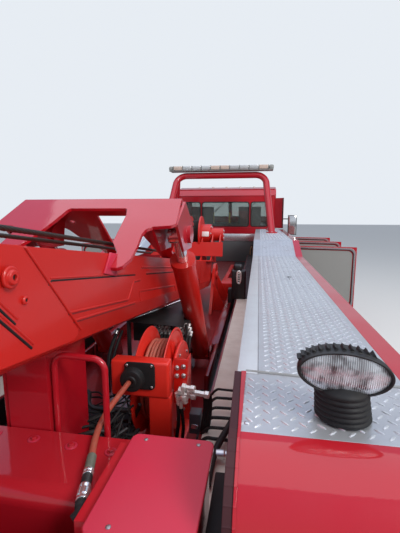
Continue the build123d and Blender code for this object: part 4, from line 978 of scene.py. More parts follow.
def reel_windings():
    """Hose wound in two packed layers between the reel's flanges."""
    rings = []
    for layer, radius in enumerate((0.168, 0.184)):
        for turn in range(6 - layer):
            x = 0.2255 + 0.0162 * (turn + 0.5 * layer)
            wound = radius + random.uniform(-0.003, 0.003)
            lean = random.uniform(-0.004, 0.004)
            ring = [
                (x + lean * cos(a), REEL_Y + wound * cos(a), REEL_Z + wound * sin(a))
                for a in [2 * pi * k / 16 for k in range(16)]]
            rings.append(tube(ring, 0.0078, 4, 3, cyclic=True))
    cords(rings, "wound_hose", HOSE_WOUND)


def reel_body():
    """The wide reel with its two flanges and side cover, the guide block on a post, and their bolts."""
    parts = [
        reel_flange(0.212, -1), reel_flange(0.325, 1),
        turning([(0, 0.14), (0.13, 0.14)], 48, (0.205, REEL_Y, REEL_Z), RIGHT),
        turning([(0.0, 0.05), (0.004, 0.2), (0.01, 0.204), (0.016, 0.2), (0.018, 0.06), (0.034, 0.052),
                (0.034, 0.03)], 64, (0.352, COVER_Y, COVER_Z), RIGHT),
        *slabs((0.149, -3.96, 1.369, 0.387, -3.898, 1.517, 0.01, 4),
            (0.303, -3.955, REEL_FOOT_Z, 0.392, -3.905, 1.375, 0.006),
            (0.182, -3.6, REEL_FOOT_Z, 0.4, -3.56, 1.33, 0.006),
            (0.17, -3.97, REEL_FOOT_Z, 0.41, -3.54, 1.062, 0.003))]
    parts += [
        moved(slab(0.338, -0.006, 0.086, 0.3425, 0.006, 0.205, 0.002), shift(0, REEL_Y, REEL_Z),
            turned(60 * turn + 15, "X")) for turn in range(6)]
    body = finished(parts, "reel_and_guide", LIT_REEL_RED)
    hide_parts("hose_reels")
    hub = around((0.3445, REEL_Y, REEL_Z), 0.066, 6, 45)
    cover = around((0.37, COVER_Y, COVER_Z), 0.165, 6, 45)
    finished(
        bolts([place for both in zip(hub, cover) for place in both], RIGHT, 0.012, 0.005, 0.0085),
        "reel_bolts", ZINC)


# The well: flange, lines over the ledge, valves, cables and bulkhead
def inner_flange():
    """The folded inner wall of the rear quarter, seen edge on: a fold coloured near black as painted shade,
    and a bright lip.
    """
    arc = [
        (PLATE_REAR_Y - 0.19 * sin(radians(a)), 1.412 + 0.19 * cos(radians(a))) for a in range(90, -1, -10)]
    profile = [(-4.6485, 0.8), *arc, (SEAM_Y, LOW_Z + 0.002)]
    for name, lift, material, start, last in (
            ("wall_fold", 0.003, FOLD_SHADE, (0.662, 0.682), (0.655, 0.676)),
            ("wall_lip", 0.0055, RED, (0.682, 0.689), (0.676, 0.691))):
        pieces = []
        for a, b in zip(profile, profile[1:]):
            stop = last if b is profile[-1] else start
            run = hypot(b[0] - a[0], b[1] - a[1]) + 0.002
            fold = shift(0, *a) @ Matrix.Rotation(atan2(b[1] - a[1], b[0] - a[0]), 4, "X")
            pieces.append(plate([(start[0], 0), (start[1], 0), (stop[1], run), (stop[0], run)], lift, fold))
        pair(pieces, name, material)


def ledge_lines():
    """Hydraulic lines that cross the ledge to the wall, with bright ends, and the hose loop beside them."""
    lines, ends = [], []
    for y, rise, radius in (
            (-3.6, 0.036, 0.006), (-3.67, 0.032, 0.0065), (-3.75, 0.03, 0.0065), (-3.83, 0.032, 0.007),
            (-3.9, 0.03, 0.0065), (-3.97, 0.028, 0.007)):
        wander = random.uniform(-0.01, 0.01)
        lines.append(
            tube([(0.49, y + wander, 1.17), (0.525, y + wander, 1.2 + rise), (0.57, y, 1.2 + rise),
                    (0.655, y + 0.006, 1.2 + rise * 0.9)], radius, 6, 3))
        ends.append(
            turning([(0, radius * 1.1), (0.002, radius * 1.6), (0.012, radius * 1.6), (0.014, radius * 1.3),
                    (0.024, radius * 1.3), (0.025, radius)], 6, (0.622, y + 0.003, 1.2 + rise * 0.94),
                RIGHT))
    lines.append(
        tube([(0.652, -3.78, 1.27), (0.645, -3.83, 1.262), (0.62, -3.93, 1.258), (0.592, -4.01, 1.245),
                (0.575, -4.09, 1.235), (0.575, -4.2, 1.225)], 0.0125, 8, 4))
    cords(lines, "ledge_lines", RUBBER)
    ends.append(
        turning([(0, 0.012), (0.002, 0.017), (0.03, 0.017), (0.034, 0.013), (0.055, 0.013), (0.056, 0.009)],
            24, (0.585, -4.065, 1.236), (1, 0.1, 0)))
    finished(ends, "ledge_line_ends", ZINC)


def reel_plumbing():
    """Bracket, bolts, unions and hanging hoses to the right of the guide."""
    finished(
        slabs((0.396, -3.915, 1.33, 0.45, -3.905, 1.52, 0.003),
            (0.44, -3.91, 1.36, 0.446, -3.8, 1.5, 0.002)), "union_bracket", BOOM_RED)
    spots = [(x, -3.9155, z) for x, z in ((0.41, 1.4835), (0.409, 1.449), (0.437, 1.452), (0.437, 1.49))]
    finished(bolts(spots, REAR, 0.014, 0.007, 0.01), "bracket_bolts", ZINC)
    unions = []
    for x, z, length in (
            (0.432, 1.408, 0.055), (0.455, 1.392, 0.09), (0.44, 1.378, 0.05), (0.418, 1.392, 0.03)):
        unions.append(
            turning([(0, 0.011), (0.002, 0.0175), (0.016, 0.0175), (0.018, 0.012), (length - 0.02, 0.012),
                    (length - 0.018, 0.0155), (length - 0.002, 0.0155), (length, 0.011)], 6, (x, UNION_Y, z),
                (1, -0.12, -0.04)))
    unions.append(
        turning([(0, 0.012), (0.012, 0.012), (0.014, 0.016), (0.032, 0.016), (0.034, 0.011), (0.044, 0.011)],
            24, (0.447, -3.93, 1.345), (-0.2, 0, 1)))
    unions += turnings(
        [(0, 0.006), (0.002, 0.0095), (0.02, 0.0095), (0.024, 0.0075), (0.055, 0.0075)], 12,
        [(0.411, UNION_Y, 1.385), (0.423, UNION_Y, 1.372)], (0.1, 0, -1))
    finished(unions, "reel_unions", BRIGHT_ZINC)
    hoses = [
        tube([(0.414, UNION_Y, 1.335), (0.42, UNION_Y, 1.28), (0.41, -3.92, 1.2), (0.39, -3.88, 1.1),
                (0.36, -3.8, 1.07)], 0.0075, 8, 4),
        tube([(0.428, UNION_Y, 1.32), (0.437, -3.92, 1.26), (0.43, -3.9, 1.18), (0.41, -3.86, 1.09)], 0.007,
            8, 4)]
    for offset in range(4):
        x = 0.512 + offset * 0.0085
        hoses.append(
            tube([(x, -3.93, 1.4 - offset * 0.006), (x + 0.006, -3.905, 1.39), (x + 0.01, -3.9, 1.31),
                    (x - 0.006, -3.895, 1.22 - offset * 0.01), (0.497 - offset * 0.01, -3.87, 1.11)], 0.006,
                8, 3))
    cords(hoses, "reel_hoses", RUBBER)
    finished(slab(0.452, -3.885, 1.18, 0.5, -3.83, 1.27, 0.004), "line_clamp_box", BLUE_GREY)
    finished(slab(0.462, -3.8875, 1.205, 0.492, -3.884, 1.225, 0.001), "line_clamp_band", CHROME)


def cable_tangle():
    """Loose electric cables and air lines on the deck, left of the reel."""
    wires, sleeves = [], []
    for index in range(26):
        y0 = random.uniform(-4.15, -3.75)
        z0 = random.uniform(1.09, 1.28)
        points = [(random.uniform(-0.42, -0.2), y0, 1.08)]
        for step in range(4):
            points.append(
                (-0.15 + step * 0.1 + random.uniform(-0.05, 0.05), y0 + random.uniform(-0.13, 0.13),
                    z0 + random.uniform(-0.05, 0.06)))
        points.append((random.uniform(0.2, 0.24), random.uniform(-4.05, -3.86), random.uniform(1.12, 1.36)))
        if index % 4 == 0:
            sleeves.append(tube(points, 0.0085, 7, 3))
        else:
            wires.append(tube(points, random.choice((0.0032, 0.004, 0.005)), 7, 2))
    cords(wires, "loose_cables", RUBBER)
    cords(sleeves, "loose_sleeves", PLASTIC)


def valve_fittings():
    """Cover sheet, frame, unions and hoses of the valve bank under the boom."""
    finished(
        plate([(0, 0), (0.335, -0.024), (0.27, 0.27), (0.0, 0.03)], 0.003,
            shift(-0.005, -3.385, 1.483) @ turned(15, "X"), 0.001), "valve_cover", PLASTIC)
    finished(
        seam([(-0.004, -3.372, 1.49), (0.12, -3.265, 1.521), (0.264, -3.125, 1.56)], 0.0042),
        "valve_cover_edge", CHROME)
    finished(
        slabs((-0.02, -3.35, 1.05, 0.0, -3.33, 1.5, 0.002), (0.325, -3.36, 1.05, 0.34, -3.34, 1.476, 0.002),
            (0.0, -3.3, 1.342, 0.335, -3.1, 1.47, 0.004)), "valve_body", PLASTIC)
    spots = [
        (group + column * 0.0215 + row * 0.006, -3.302, 1.462 - row * 0.022) for group in (0.15, 0.277)
        for row in range(3) for column in range(4)]
    finished(
        turnings([(0, 0.006), (0.001, 0.0085), (0.012, 0.0085), (0.014, 0.0065), (0.024, 0.0065),
                (0.026, 0.0085), (0.04, 0.0085), (0.041, 0.006)], 6, spots, (0, -1, -0.35)), "valve_unions",
        BRIGHT_ZINC)
    hoses = []
    for index in range(12):
        x = 0.15 + index * 0.0185
        sway = random.uniform(-0.03, 0.03)
        hoses.append(
            tube([(x, -3.335, 1.405), (x + 0.002, -3.385, 1.385), (x + sway, -3.4, 1.3),
                    (x + sway * 1.5, -3.36, 1.18), (x + sway * 2, -3.34, 1.08)], 0.0075, 7, 3))
    cords(hoses, "valve_hoses", RUBBER)
    cords(
        [tube([(-0.03, -3.44, 1.46), (-0.045, -3.5, 1.4), (-0.05, -3.56, 1.3), (-0.02, -3.62, 1.18)], 0.01,
                8, 4), tube([(-0.01, -3.44, 1.45), (-0.02, -3.52, 1.38), (-0.025, -3.58, 1.27),
                    (0.01, -3.62, 1.16)], 0.008, 8, 4)], "frame_hoses", RUBBER)
    finished(
        turning([(0, 0.012), (0.002, 0.0145), (0.02, 0.0145), (0.022, 0.012)], 16, (-0.034, -3.455, 1.455),
            (-0.3, -0.75, -0.8)), "frame_clip", ZINC)


def well_rails():
    """The rails and end blocks beside the boom's base, black strips between them and the ledges, and black
    patches on the deck.
    """
    # The long well rails are in the shaded red: painted shade.
    pair(
        slabs((0.385, -2.8, RAIL_FOOT_Z, 0.452, -0.9, 1.155, 0.008),
            (0.425, -3.3, RAIL_FOOT_Z, 0.452, -2.78, 1.155, 0.006)), "well_rail", SHADED_RED)
    pair(
        slabs((0.27, -0.98, RAIL_FOOT_Z, 0.415, -0.6, 1.235, 0.01),
            (0.24, -0.62, RAIL_FOOT_Z, 0.3, 1.1, 1.16, 0.008),
            (0.255, -1.04, RAIL_FOOT_Z, 0.43, -0.97, 1.1, 0.006)), "rail_block", BOOM_RED)
    pair(
        slabs((0.4525, -4.1, DECK_Z, 0.4985, 2.2, 1.056), (0.4965, -4.55, 1.055, 0.4995, 2.2, 1.196)),
        "well_black_strips", PLASTIC)
    # Black patches on the deck floor; the first, under the loose cables, is painted shade for the dark floor
    # of the well.
    mats = (
        (-0.48, -4.24, 0.168, -3.54), (0.25, -0.55, 0.45, 2.2), (-0.45, -0.55, -0.25, 2.2),
        (0.16, -3.5, 0.3, -2.98))
    finished([slab(x0, y0, DECK_Z, x1, y1, 1.056) for x0, y0, x1, y1 in mats], "deck_mats_and_shade", RUBBER)


def bulkhead():
    finished(slab(-0.655, 2.246, 1.062, 0.655, 2.2595, 1.496, 0.002), "bulkhead_panel", DARK_PANEL)
    finished(slab(-0.66, 2.238, 1.498, 0.66, 2.2595, 1.65, 0.006), "bulkhead_strip", ALUMINIUM)
    rings = [
        tube(around((0.585, 2.22 - k * 0.012, 1.27), (0.035 - k * 0.004, 0.15 - k * 0.012), 14, 0, (0, 2)),
            0.009, 5, 3, cyclic=True) for k in range(4)]
    cords(rings[:2], "hung_cable", RUBBER)
    cords(rings[2:], "hung_hose", TAN_CABLE)


# Arch, light bar and cab rear
def arch_feet():
    spots = [
        spot for side in (1, -1) for y, reach in ((0.9, 0.077), (1.85, 0.063))
        for spot in around((side * 0.943, y, 1.77), reach, 6, 30, (0, 1))]
    finished(bolts(spots, UP, 0.016, 0.009, 0.0125), "arch_foot_bolts", ZINC)
    finished(
        turnings([(0, 0.066), (0.003, 0.066), (0.012, 0.058)], 32,
            [(0.943, 0.9, 1.7695), (-0.943, 0.9, 1.7695)]), "arch_foot_welds", RED)


def bar_modules():
    """Separate lenses, end caps and clamps on the light bar."""
    count = 10
    width = 1.74 / count
    clear, amber, frames = [], [], []
    for index in range(count):
        x0 = -0.87 + index * width
        lens = slab(x0 + 0.006, 1.322, 2.868, x0 + width - 0.006, 1.618, 2.94, 0.012, 3)
        (amber if index in (0, 4, 5, 9) else clear).append(lens)
        frames.append(slab(x0 - 0.0035, 1.3195, 2.856, x0 + 0.0035, 1.6205, 2.945, 0.002))
    frames += slabs(
        (0.8665, 1.3195, 2.856, 0.8735, 1.6205, 2.945, 0.002),
        (-0.955, 1.335, 2.852, 0.955, 1.605, 2.8665, 0.004),
        (0.876, 1.345, 2.862, 0.962, 1.595, 2.944, 0.03, 4),
        (-0.876, 1.345, 2.862, -0.962, 1.595, 2.944, 0.03, 4))
    body = finished(frames, "bar_frame", PANEL_GREY)
    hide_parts("light_bar")
    finished(clear, "bar_lenses", BAR_LENS)
    finished(amber, "bar_amber_lenses", BAR_AMBER)
    finished(slab(-0.86, 1.36, 2.872, 0.86, 1.58, 2.915, 0.004), "bar_reflectors", ALUMINIUM)


def cab_rear_trim():
    seals = [
        seam([(x, 2.478, z) for x, z in corners(x0 + 0.004, x1 - 0.004, 1.801, 2.316, 0.05, 4)], 0.011, True)
        for x0, x1 in ((-0.91, -0.545), (-0.512, 0.512), (0.545, 0.91))]
    cords(seals, "rear_window_gaskets", RUBBER)
    creases = (
        ([(-1.04, 2.477, 2.452), (1.04, 2.477, 2.452)], 0.007),
        ([(-1.04, 2.6, 2.594), (0, 2.6, 2.596), (1.04, 2.6, 2.594)], 0.006),
        ([(-1.04, 2.478, 1.765), (1.04, 2.478, 1.765)], 0.005))
    cords([seam(points, radius) for points, radius in creases], "cab_roof_creases", RED)
    pair(slab(1.196, 2.322, 1.772, 1.2175, 2.334, 2.394, 0.004), "fairing_rubber", RUBBER)
    finished(
        [slab(x, 2.66, 1.86, x + 0.035, 2.67, 2.1, 0.002) for x in (-0.3, 0.06)], "seat_belts", YELLOW_WEB)
    finished(
        turnings([(0, 0.03), (0.006, 0.03), (0.02, 0.024), (0.028, 0.012)], 20,
            [(x, 2.72, 2.628) for x in (-0.6, -0.3, 0.0, 0.3, 0.6)]), "roof_marker_lamps", BAR_AMBER)


# Toolbox doors: modelled shut, then swung to where they stand open
DOOR_PIN_X = 1.234
DOOR_OPEN_DEG = 80
HINGES_Y = (0.29, 1.27, 2.25)


def box_doors():
    """On each door a liner, an edge frame, a seal, a pressing and a latch."""
    for number, hinge_y in enumerate(HINGES_Y, 1):
        y0 = hinge_y - 0.9
        box = (y0, hinge_y, 0.69, 1.6)
        pin = Vector((DOOR_PIN_X, hinge_y + 0.004, 0))

        def hang(piece, name, material):
            moved(piece, shift(*pin), turned(DOOR_OPEN_DEG, "Z"), shift(*-pin))
            pair(piece, "door_%s_%d" % (name, number), material, "box_door_%d_SIDE" % number)

        hang(upright_plate(1.1885, inset(box, 0.055, 0.07), 0.0015), "liner", PANEL_GREY)
        hang(ring_plate(1.1802, inset(box, 0.012, 0.08), inset(box, 0.036, 0.07), 0.002), "frame", ALUMINIUM)
        hang(seam([(1.181, y, z) for y, z in inset(box, 0.04, 0.07)], 0.0055, True), "seal", RUBBER)
        hang(seam([(1.2202, y, z) for y, z in inset(box, 0.06, 0.03)], 0.003, True), "pressing", RED)
        dish = turning(
            [(0, 0.052), (0.0035, 0.05), (0.0045, 0.044), (0.0015, 0.04), (0.001, 0.02)], 36,
            (1.2198, y0 + 0.085, 1.145), RIGHT)
        lever = slab(1.222, y0 + 0.06, 1.13, 1.229, y0 + 0.11, 1.16, 0.003)
        hang(joined([dish, lever]), "latch", CHROME)


def box_interiors():
    """Seals round the openings, liners, shelves and mats inside the toolboxes."""
    flanges, bulbs, liners, mats = [], [], [], []
    for hinge_y in HINGES_Y:
        y0, y1 = hinge_y - 0.908, hinge_y + 0.008
        box = (y0, y1, 0.682, 1.608)
        flanges.append(ring_plate(1.158, inset(box, 0, 0.01, 2), inset(box, 0.03, 0.04, 2), 0.006))
        bulbs.append(seam([(1.1675, y, z) for y, z in inset(box, 0.018, 0.05)], 0.0045, True))
        liners += slabs(
            (0.7025, y0 + 0.004, 0.686, 0.706, y1 - 0.004, 1.604),
            (0.71, y0 + 0.004, 1.14, 1.13, y1 - 0.004, 1.15, 0.002),
            (1.122, y0 + 0.004, 1.15, 1.13, y1 - 0.004, 1.185, 0.002))
        liners += [slab(0.71, y, 1.105, 1.12, y + 0.02, 1.14, 0.003) for y in (y0 + 0.02, y1 - 0.04)]
        mats.append(slab(0.71, y0 + 0.01, 0.683, 1.15, y1 - 0.01, 0.692, 0.003))
    for pieces, name, material in (
            (flanges, "opening_flange", RED), (bulbs, "opening_seal", RUBBER),
            (liners, "box_liner", PANEL_GREY), (mats, "box_mat", RUBBER)):
        pair(pieces, name, material)


def body_sides():
    """Arch trims, rub rails, drip rails, panel creases, side markers and mud flaps."""
    arch = ((-1.268, 0.645), (-1.516, 1.142), (-3.684, 1.142), (-3.932, 0.785))
    pair(seam([(1.217, y, z) for y, z in arch], 0.01), "arch_trim", RUBBER)
    pair(
        slabs((SIDE_X, -1.25, 0.648, 1.2245, 2.29, 0.676, 0.002),
            (SIDE_X, -4.45, 0.788, 1.2245, -3.95, 0.816, 0.002)), "rub_rail", ALUMINIUM)
    pair(
        slabs((SIDE_X, -0.66, 1.616, 1.228, 2.29, 1.628, 0.003),
            (SIDE_X, -4.38, 1.53, 1.223, -0.7, 1.542, 0.0015),
            (SIDE_X, -4.38, 1.2, 1.223, -1.0, 1.212, 0.0015),
            (SIDE_X, -0.7, 0.7, 1.223, -0.688, 1.6, 0.0015)), "side_creases", RED)
    spots = [(1.22, y, z) for y, z in ((-1.15, 0.9), (-4.5, 1.37), (-4.1, 0.95), (2.285, 0.74))]
    markers = turnings([(0, 0.026), (0.006, 0.026), (0.014, 0.02), (0.018, 0.008)], 24, spots, RIGHT)
    bezels = turnings([(0, 0.034), (0.004, 0.034), (0.007, 0.027)], 24, spots, RIGHT)
    pair(markers, "side_markers", AMBER)
    pair(bezels, "side_marker_bezels", RUBBER)
    pair(slab(0.605, -3.957, 0.215, 1.185, -3.948, 0.8, 0.002), "mud_flap", RUBBER)
    pair(
        [*slabs((0.605, -3.946, 0.745, 1.185, -3.934, 0.785, 0.003),
                (0.605, -3.963, 0.235, 1.185, -3.9575, 0.262, 0.002)),
            *bolts([(0.66 + 0.155 * k, -3.958, 0.765) for k in range(4)], REAR, 0.016, 0.006, 0.011)],
        "mud_flap_bar", ZINC)


# Wheels
TYRE_OUTLINE = [
    (0.1125, 0.2865), (0.1205, 0.296), (0.1245, 0.307), (0.13, 0.322), (0.1362, 0.35), (0.1373, 0.355),
    (0.1362, 0.36), (0.1372, 0.4), (0.1373, 0.43), (0.1345, 0.438), (0.1362, 0.445), (0.132, 0.462),
    (0.119, 0.496), (0.111, 0.5085), (0.104, 0.512)]
TREAD_STEPS = 64


def revolved(outline, sides):
    """A closed (x, radius) outline swept round the X axis."""
    piece = disc(len(outline), fill="NOTHING")
    for vertex, (x, radius) in zip(piece.data.vertices, outline):
        vertex.co = (x, 0, radius)
    with_modifiers(
        piece, ("SCREW", {"axis": "X", "angle": 2 * pi, "steps": sides, "render_steps": sides,
                "use_merge_vertices": True}))
    with editing(piece):
        bpy.ops.mesh.remove_doubles(threshold=0.00001)
        bpy.ops.mesh.normals_make_consistent(inside=False)
    return piece


def tyre():
    """Ribbed sidewalls and five staggered rows of tread blocks, about the X axis."""
    carcass = revolved(TYRE_OUTLINE + [(-x, r) for x, r in reversed(TYRE_OUTLINE)], 96)
    row = []
    for index, (x, wide, skew) in enumerate(
            ((-0.0885, 0.034, 0), (-0.0435, 0.035, 9), (0, 0.034, -9), (0.0435, 0.035, 9),
                (0.0885, 0.034, 0))):
        block = slab(-wide / 2, -0.021, 0.508, wide / 2, 0.021, 0.5243)
        stagger = Matrix.Rotation(pi / TREAD_STEPS * (index % 2), 4, "X")
        row.append(moved(block, stagger, shift(x, 0, 0), turned(skew, "Z")))
    tread = joined(row)
    step = 1
    while step < TREAD_STEPS:
        tread = joined([tread, copy_of(tread, Matrix.Rotation(2 * pi * step / TREAD_STEPS, 4, "X"))])
        step *= 2
    return joined([carcass, tread])


def wheel_trim(face_x, nut_x, hub_x):
    """Nut covers, hub band and a bolted hub cap, for a wheel on an axle along X."""
    band = turning([(0, 0.0965), (0.0, 0.104), (0.01, 0.104), (0.014, 0.098)], 48, (face_x, 0, 0), RIGHT)
    cap = turning(
        [(0, 0.09), (0.004, 0.088), (0.006, 0.058), (0.014, 0.054), (0.016, 0.02)], 48, (hub_x, 0, 0), RIGHT)
    nuts = turnings(
        [(0, 0.021), (0.004, 0.021), (0.006, 0.0165), (0.02, 0.0155), (0.026, 0.009)], 6,
        around((nut_x, 0, 0), 0.143, 10, 18), RIGHT)
    return joined(
        [band, cap, *nuts, *bolts(around((hub_x + 0.003, 0, 0), 0.074, 8), RIGHT, 0.012, 0.006, 0.008)])


def wheels():
    master = tyre()
    front_trim = wheel_trim(1.132, 1.138, 1.1845)
    rear_trim = wheel_trim(0.905, 0.914, 1.0448)
    for body, node, y, xs, trim in (
            ("front_wheel_", "front_tyre_", 4.72, (1.035,), front_trim),
            ("rear_wheels_1_", "rear_tyres_1_", -3.28, (1.055, 0.725), rear_trim),
            ("rear_wheels_2_", "rear_tyres_2_", -1.92, (1.055, 0.725), rear_trim)):
        for side, name in ((1, "right"), (-1, "left")):
            rubber = joined([copy_of(master, shift(side * x, y, AXLE_Z)) for x in xs])
            finished(rubber, node + name + "_dressed", TYRE_RUBBER, body + name)
            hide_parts(node + name)
            turn = Matrix.Rotation(0 if side > 0 else pi, 4, "Z")
            finished(copy_of(trim, shift(0, y, AXLE_Z) @ turn), body + name + "_trim", CHROME, body + name)
    for piece in (master, front_trim, rear_trim):
        bpy.data.objects.remove(piece)


# Front: lamps, grille, hood trim
def round_lamp(place, axis, radius):
    """A bezel, a bowl with a bulb, and a domed lens, as three pieces."""
    bezel = [(0, 1.14), (0.008, 1.15), (0.016, 1.08), (0.016, 1), (0.004, 0.98)]
    bowl = [(0.001, 0.97), (0.01, 0.95), (0.004, 0.55), (0.003, 0.2), (0.013, 0.12), (0.014, 0.002 / radius)]
    lens = [(0.0135, 0.985), (0.018, 0.9), (0.023, 0.66), (0.026, 0.33), (0.027, 0.002 / radius)]
    return [
        turning([(height, radius * part) for height, part in rings], sides, place, axis)
        for rings, sides in ((bezel, 48), (bowl, 40), (lens, 48))]


def front_lamps():
    lamps = [round_lamp((x, 5.3995, 1.0), FRONT, 0.072) for x in (0.73, 0.9)]
    pair(slab(0.635, 5.398, 0.905, 0.995, 5.406, 1.095, 0.02, 3), "headlamp_housing", PLASTIC, "hood")
    for pieces, name, material in zip(zip(*lamps), ("bezels", "bowls", "lenses"), (CHROME, CHROME, LENS)):
        pair(list(pieces), "headlamp_" + name, material, "hood")
    pair(slab(1.035, 5.398, 0.925, 1.15, 5.425, 1.075, 0.012, 3), "turn_lamp", AMBER, "hood")
    pair(slab(1.027, HOOD_FACE_Y, 0.917, 1.158, 5.408, 1.083, 0.008, 3), "turn_lamp_frame", CHROME, "hood")
    fog = round_lamp((1.1, 5.628, 0.6), (0.565, 0.825, 0), 0.046)
    for piece, name, material in zip(fog, ("fog_bezel", "fog_bowl", "fog_lens"), (PLASTIC, CHROME, LENS)):
        pair(piece, name, material)


def grille_and_hood():
    finished(slab(-0.384, 5.336, 0.946, 0.384, 5.342, 1.534), "radiator_face", PLASTIC, "hood")
    bars = [
        slab(x - 0.0025, 5.371, 0.944, x + 0.0025, 5.376, 1.536)
        for x in [-0.36 + 0.045 * k for k in range(17)]]
    finished(bars, "grille_bars", STEEL, "hood")
    edges = (
        (-0.452, 0.878, 0.452, 0.912), (-0.452, 1.568, 0.452, 1.602), (-0.452, 0.905, -0.418, 1.575),
        (0.418, 0.905, 0.452, 1.575))
    finished(
        [slab(x0, HOOD_FACE_Y, z0, x1, 5.4125, z1, 0.005) for x0, z0, x1, z1 in edges], "grille_surround",
        CHROME, "hood")
    creases = [
        seam([(x, 4.02, 1.921), (x * 0.9, 5.146, 1.762), (x * 0.85, 5.398, 1.643)], 0.008)
        for x in (0.34, 0.4)]
    creases.append(seam([(0.562, 4.02, 1.4), (0.562, 5.12, 1.36), (0.562, 5.38, 1.3)], 0.006))
    pair(creases, "hood_creases", RED, "hood")
    pair(
        [slab(0.558, 4.36, 1.47 + 0.03 * k, 0.57, 4.86, 1.482 + 0.03 * k, 0.004) for k in range(7)],
        "hood_louvres", RED, "hood")
    pair(slab(0.5585, 4.35, 1.462, 0.5625, 4.87, 1.67), "hood_louvre_shade", PLASTIC, "hood")
    pair(
        slabs((0.561, 4.02, 1.5, 0.574, 4.1, 1.545, 0.006), (0.561, 4.035, 1.44, 0.571, 4.06, 1.51, 0.004)),
        "hood_latch", RUBBER, "hood")
    edge = [(x, 4.0035, z) for x, z in ((0.562, 1.17), (0.562, 1.922), (-0.562, 1.922), (-0.562, 1.17))]
    finished(seam(edge, 0.006), "hood_seal", RUBBER, "hood")
    arch = [
        (1.198, 4.72 + 0.64 * cos(radians(a)), AXLE_Z + 0.64 * sin(radians(a))) for a in range(28, 153, 8)]
    pair(tube(arch, 0.01, 2, 3), "fender_lip", RED, "hood")


# Cab: glass seals, wipers, door lines, tanks, steps, mirrors
GLASS_FOOT = Vector((0, 3.88, 1.985))
GLASS_UP = Vector((0, -0.366, 0.931))
GLASS_OUT = Vector((0, 0.931, 0.366))


def on_glass(*points):
    """Points on the windscreen, from their (x, distance up, distance out)."""
    return [GLASS_FOOT + GLASS_UP * up + GLASS_OUT * out + Vector((x, 0, 0)) for x, up, out in points]


def cab_trim():
    outline = [(x, up, 0.004) for x, up in corners(0.034, 0.986, 0.006, 0.59, 0.05)]
    pair(seam(on_glass(*outline), 0.012, True), "windscreen_seal", RUBBER)
    wipers = []
    for x0, x1 in ((0.16, 0.56), (-0.62, -0.22)):
        arm = on_glass((x0, -0.035, 0.02), ((x0 + x1) / 2, 0.14, 0.026), (x1, 0.3, 0.018))
        blade = on_glass((x1 - 0.17, 0.13, 0.012), (x1, 0.3, 0.013), (x1 + 0.14, 0.46, 0.012))
        wipers += [tube(arm, 0.006, 4, 3), tube(blade, 0.0065, 4, 3)]
    finished(wipers, "wipers", PLASTIC)
    door = ((2.594, 1.184), (2.594, 2.406), (3.566, 2.406), (3.706, 2.024), (3.706, 1.184))
    window = ((2.694, 1.834), (2.694, 2.326), (3.497, 2.326), (3.616, 2.018), (3.616, 1.834))
    for outline, x, radius, name, material, body in (
            (door, 1.0695, 0.0045, "cab_door_gap", RUBBER, "chassis"),
            (window, 1.0705, 0.009, "cab_window_seal", RUBBER, "cab_door_SIDE"),
            (corners(2.68, 3.62, 1.27, 1.7, 0.05), 1.0695, 0.005, "cab_door_pressing", RED,
                "cab_door_SIDE")):
        pair(seam([(x, y, z) for y, z in outline], radius, True), name, material, body)
    pair(
        slabs((1.069, 2.67, 1.745, 1.079, 2.83, 1.785, 0.006, 3),
            (1.076, 2.69, 1.752, 1.086, 2.78, 1.778, 0.005)), "cab_door_handle", CHROME, "cab_door_SIDE")
    straps = turnings(
        [(0, 0.3008), (0, 0.3045), (0.05, 0.3045), (0.05, 0.3008)], 72,
        [(0.78, y, 0.8) for y in (2.83, 3.24, 3.65)], FRONT)
    straps += turnings([(0, 0.302), (0.012, 0.302)], 72, [(0.78, y, 0.8) for y in (2.653, 3.865)], FRONT)
    straps.append(
        turning([(0, 0.05), (0.028, 0.05), (0.034, 0.044), (0.034, 0.012)], 24, (0.985, 3.44, 1.005),
            (0.7, 0, 0.7)))
    pair(straps, "tank_straps", STEEL)
    pair(
        slabs((1.04, 2.93, 0.592, 1.195, 3.56, 0.616, 0.006), (1.0, 2.96, 0.6, 1.03, 3.0, 0.66, 0.004),
            (1.0, 3.49, 0.6, 1.03, 3.53, 0.66, 0.004), (0.8, 2.72, 1.1095, 1.178, 3.81, 1.114, 0.001)),
        "cab_steps", TREAD)
    pair(
        [lug_field(0.82, 1.17, (2.74, 1.114), (3.79, 1.114)),
            lug_field(1.045, 1.19, (2.94, 0.616), (3.55, 0.616))], "cab_step_lugs", LIT_TREAD_LUG)
    pair(slab(1.432, 3.5575, 1.572, 1.608, 3.5605, 2.018, 0.001), "mirror_glass", CHROME)
    rims = (
        (1.418, 1.558, 1.622, 1.57), (1.418, 2.02, 1.622, 2.032), (1.418, 1.56, 1.43, 2.03),
        (1.61, 1.56, 1.622, 2.03))
    pair([slab(x0, 3.556, z0, x1, 3.566, z1, 0.003) for x0, z0, x1, z1 in rims], "mirror_rim", PLASTIC)


# Rear and lifting gear
SHEAVE_Y = -4.28


